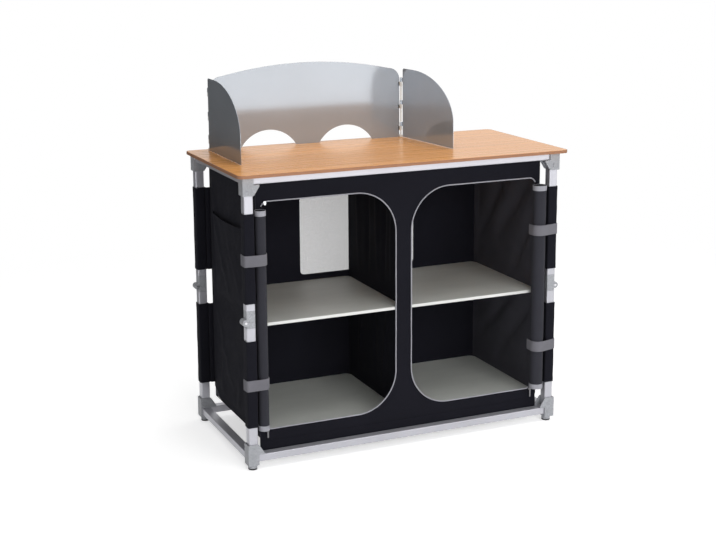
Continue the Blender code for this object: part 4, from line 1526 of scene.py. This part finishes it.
class CUPBOARD_OT_windscreen(bpy.types.Operator):
    """Model the three sheets of the windscreen and the rods they hinge on"""

    bl_idname = "cupboard.windscreen"
    bl_label = "Windscreen"

    sheet = 0.0012
    behind_rods = 0.0030
    centre = -0.1265
    half = 0.2935
    top = 0.235
    side_top = 0.198
    corner = 0.035
    arch_from_centre = 0.120
    arch_half = 0.084
    arch_height = 0.047
    rod_edge = 0.0004
    ring_heights = (0.020, 0.085, 0.152)
    ring_length = 0.012
    ring_radius = 0.0036
    ring_wall = 0.0013
    tab_reach = 0.0075
    tab_depths = (0.0024, 0.0038)
    tab_corner = 0.0012
    ring_edge = 0.0002
    sheet_angle = 50

    def rear_outline(self):
        """Up the right side, over the crown, down the left side and back over the two arches."""
        rise = self.top - self.side_top
        radius = (self.half ** 2 + rise ** 2) / (2 * rise)
        reach = math.degrees(math.asin((self.half - self.corner) / radius))
        crown = arc((self.centre, self.top - radius), radius, 90 - reach, 90 + reach, 48)
        shoulder = arc((self.half - self.corner, crown[0][1] - self.corner), self.corner, 81, 0, 9)
        arch_radius = (self.arch_half ** 2 + self.arch_height ** 2) / (2 * self.arch_height)
        below = arch_radius - self.arch_height
        spread = math.degrees(math.acos(below / arch_radius))
        outline = [(self.centre + self.half, 0.0)]
        outline += [(self.centre + x, z) for x, z in reversed(shoulder)] + crown
        outline += [(self.centre - x, z) for x, z in shoulder] + [(self.centre - self.half, 0.0)]
        for side in SIDES.values():
            middle = self.centre + side * self.arch_from_centre
            outline += arc((middle, -below), arch_radius, 90 + spread, 90 - spread, 32)
        return outline

    def rear(self):
        low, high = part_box("windscreen_rod_left")
        plane = (low.y + high.y) / 2 + self.behind_rods
        to_space = Matrix.Translation((0, plane, SCREEN_BASE)) @ UPRIGHT
        return plate(self.rear_outline(), self.sheet, sizes().sheet_edge, to_space)

    def loops(self):
        """The folded rings of the rear sheet round its two rods."""
        pieces = []
        for name, side in SIDES.items():
            low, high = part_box(f"windscreen_rod_{name}")
            centre = (low + high) / 2
            inner_x = centre.x - side * self.tab_reach
            for height in self.ring_heights:
                start = SCREEN_BASE + height
                end = start + self.ring_length
                ring = rod("ring", centre, start, end, self.ring_radius)
                open_up(ring)
                pick(ring, "FACE", looks_along(Z))
                bpy.ops.mesh.inset(thickness=self.ring_wall, depth=0, use_individual=True)
                bpy.ops.mesh.bridge_edge_loops()
                close_up()
                soften(ring, self.ring_edge, 1, self.sheet_angle)
                front, back = (centre.y + depth for depth in self.tab_depths)
                tab = block(
                    "tab", (min(centre.x, inner_x), front, start),
                    (max(centre.x, inner_x), back, end),
                )
                bevel(tab, runs_along(Y), self.tab_corner, 3)
                pieces += [ring, tab]
        return joined(*pieces)

    def execute(self, context):
        rear, loops = self.rear(), self.loops()
        finished(rear, "screen_rear", "screen", "top", ["windscreen_rear"])
        finished(loops, "screen_rear_loops", "band", "top", ["windscreen_rear"])
        # The right wing takes the copy of the sheet with painted light, lighter and bluer than the
        # left wing's.
        for name, finish in {"left": "screen", "right": "wing_painted_light"}.items():
            wing, pin = f"windscreen_wing_{name}", f"windscreen_rod_{name}"
            refined(
                wing, f"screen_wing_{name}", finish, wing, sizes().sheet_edge,
                self.sheet_angle,
            )
            refined(pin, f"screen_rod_{name}", "band", "top", self.rod_edge)
        return {"FINISHED"}


# Stage

class CUPBOARD_OT_stage(bpy.types.Operator):
    """Lay the pale floor and set the light and the camera"""

    bl_idname = "cupboard.stage"
    bl_label = "Stage"

    focal = 69.04
    sensor = 36.0
    shift = -0.0796
    camera_place = (-1.5877, -3.4624, 1.4073)
    turn = 0.4164
    pitch = 0.2039
    roll = -0.0056
    fill_light = 0.36
    glow = 0.55
    shadow_reach = (0.9, 2.6)

    def camera(self):
        lens = bpy.data.cameras.new("camera")
        lens.lens = self.focal
        lens.sensor_width = self.sensor
        lens.shift_y = self.shift
        camera = bpy.data.objects.new("camera", lens)
        bpy.context.scene.collection.objects.link(camera)
        ahead = Vector((
            math.sin(self.turn) * math.cos(self.pitch),
            math.cos(self.turn) * math.cos(self.pitch),
            -math.sin(self.pitch),
        ))
        level = Vector((math.cos(self.turn), -math.sin(self.turn), 0))
        above = level.cross(ahead)
        right = level * math.cos(self.roll) + above * math.sin(self.roll)
        up = above * math.cos(self.roll) - level * math.sin(self.roll)
        place = Matrix.Translation(self.camera_place)
        camera.matrix_world = place @ Matrix((right, up, -ahead)).transposed().to_4x4()
        bpy.context.scene.camera = camera

    def lamp(self, name, place, aim, size, power):
        light = bpy.data.lights.new(name, "AREA")
        light.shape = "RECTANGLE"
        light.size, light.size_y = size
        light.energy = power
        lamp = bpy.data.objects.new(name, light)
        lamp.visible_glossy = False
        bpy.context.scene.collection.objects.link(lamp)
        lamp.location = place
        way = Vector(aim) - Vector(place)
        lamp.rotation_euler = way.to_track_quat("-Z", "Y").to_euler()

    def world(self):
        """White where it is looked at, and a dimmer fill light elsewhere."""
        world = bpy.data.worlds.new("studio")
        world.use_nodes = True
        bpy.context.scene.world = world
        tree = Nodes(world.node_tree)
        tree.nodes.clear()
        seen, fill = (
            tree.add("ShaderNodeBackground", Color=WHITE, Strength=strength).outputs["Background"]
            for strength in (1.0, self.fill_light)
        )
        tree.add("ShaderNodeOutputWorld", Surface=tree.mix(tree.seen_rays(), fill, seen))

    def floor(self):
        """A floor that keeps the shadows near the cupboard and whitens away from it."""
        bpy.ops.object.select_all(action="DESELECT")
        bpy.ops.mesh.primitive_grid_add(x_subdivisions=8, y_subdivisions=8, size=60)
        floor = bpy.context.active_object
        floor.name = "floor"
        finish = Finish("pale floor", (0.82, 0.82, 0.82), 0.9)
        spot = finish.add("ShaderNodeTexCoord").outputs["Object"]
        distance = finish.add("ShaderNodeVectorMath", operation="LENGTH", Vector=spot)
        away = finish.span(distance.outputs["Value"], 0.0, 1.0, *self.shadow_reach)
        glow, white = (
            finish.add("ShaderNodeEmission", Color=WHITE, Strength=strength).outputs["Emission"]
            for strength in (self.glow, 1.0)
        )
        lit = finish.shader.outputs["BSDF"]
        added = finish.add("ShaderNodeAddShader")
        finish.links.new(lit, added.inputs[0])
        finish.links.new(glow, added.inputs[1])
        seen = finish.mix(away, added.outputs["Shader"], white)
        shown = finish.mix(finish.seen_rays(), lit, seen)
        finish.fill(finish.nodes["Material Output"], Surface=shown)
        floor.data.materials.append(finish.material)

    def card(self, name, low, high, brightness):
        """A studio card that only shows in what mirrors it."""
        card = block(name, low, high)
        bevel(card, lambda e: True, 0.002, 1)
        finish = Finish(name, (0, 0, 0), 1.0)
        finish.fill(
            finish.shader, Specular_IOR_Level=0.0, Emission_Color=WHITE,
            Emission_Strength=brightness,
        )
        card.data.materials.append(finish.material)
        card.visible_camera = False
        card.visible_shadow = False
        card.visible_diffuse = False

    def execute(self, context):
        context.scene.view_settings.view_transform = "Standard"
        self.camera()
        self.world()
        self.floor()
        self.card("white card", (-9.0, -2.66, 0.0), (5.0, -2.6, 1.05), 2.9)
        self.card("left flag", (-5.04, -3.4, 0.0), (-5.0, 9.0, 5.0), 0.6)
        self.card("rear flag", (-1.5, 1.3, 0.0), (-0.5, 1.34, 1.6), 0.03)
        self.lamp("front softbox", (0.3, -4.9, 1.7), (0, 0, 0.5), (3.0, 2.4), 125)
        self.lamp("top softbox", (0.3, -0.4, 3.2), (0, 0, 0.6), (2.6, 2.0), 42)
        return {"FINISHED"}


# Add-on

class CUPBOARD_PT_panel(bpy.types.Panel):
    """The pieces of the cupboard, in the order they are made"""

    bl_idname = "CUPBOARD_PT_panel"
    bl_label = "Camping Cupboard"
    bl_space_type = "VIEW_3D"
    bl_region_type = "UI"
    bl_category = "Cupboard"

    def draw(self, context):
        column = self.layout.column()
        for step in STEPS:
            column.operator(step.bl_idname)
        for group in (context.scene.cupboard_sizes, context.scene.cupboard_colours):
            for key in group.bl_rna.properties.keys():
                if key not in ("rna_type", "name"):
                    column.prop(group, key)


STEPS = (
    CUPBOARD_OT_stage,
    CUPBOARD_OT_tabletop,
    CUPBOARD_OT_rails,
    CUPBOARD_OT_legs,
    CUPBOARD_OT_castings,
    CUPBOARD_OT_feet,
    CUPBOARD_OT_shelves,
    CUPBOARD_OT_front_panel,
    CUPBOARD_OT_side_walls,
    CUPBOARD_OT_pocket,
    CUPBOARD_OT_sleeves,
    CUPBOARD_OT_back,
    CUPBOARD_OT_divider,
    CUPBOARD_OT_doors,
    CUPBOARD_OT_windscreen,
)
CLASSES = (CupboardSizes, CupboardColours, *STEPS, CUPBOARD_PT_panel)


def register():
    for item in CLASSES:
        bpy.utils.register_class(item)
    bpy.types.Scene.cupboard_sizes = PointerProperty(type=CupboardSizes)
    bpy.types.Scene.cupboard_colours = PointerProperty(type=CupboardColours)


def unregister():
    del bpy.types.Scene.cupboard_colours
    del bpy.types.Scene.cupboard_sizes
    for item in reversed(CLASSES):
        bpy.utils.unregister_class(item)


def main():
    register()
    for step in STEPS:
        group, name = step.bl_idname.split(".")
        getattr(getattr(bpy.ops, group), name)()


if __name__ == "__main__":
    main()
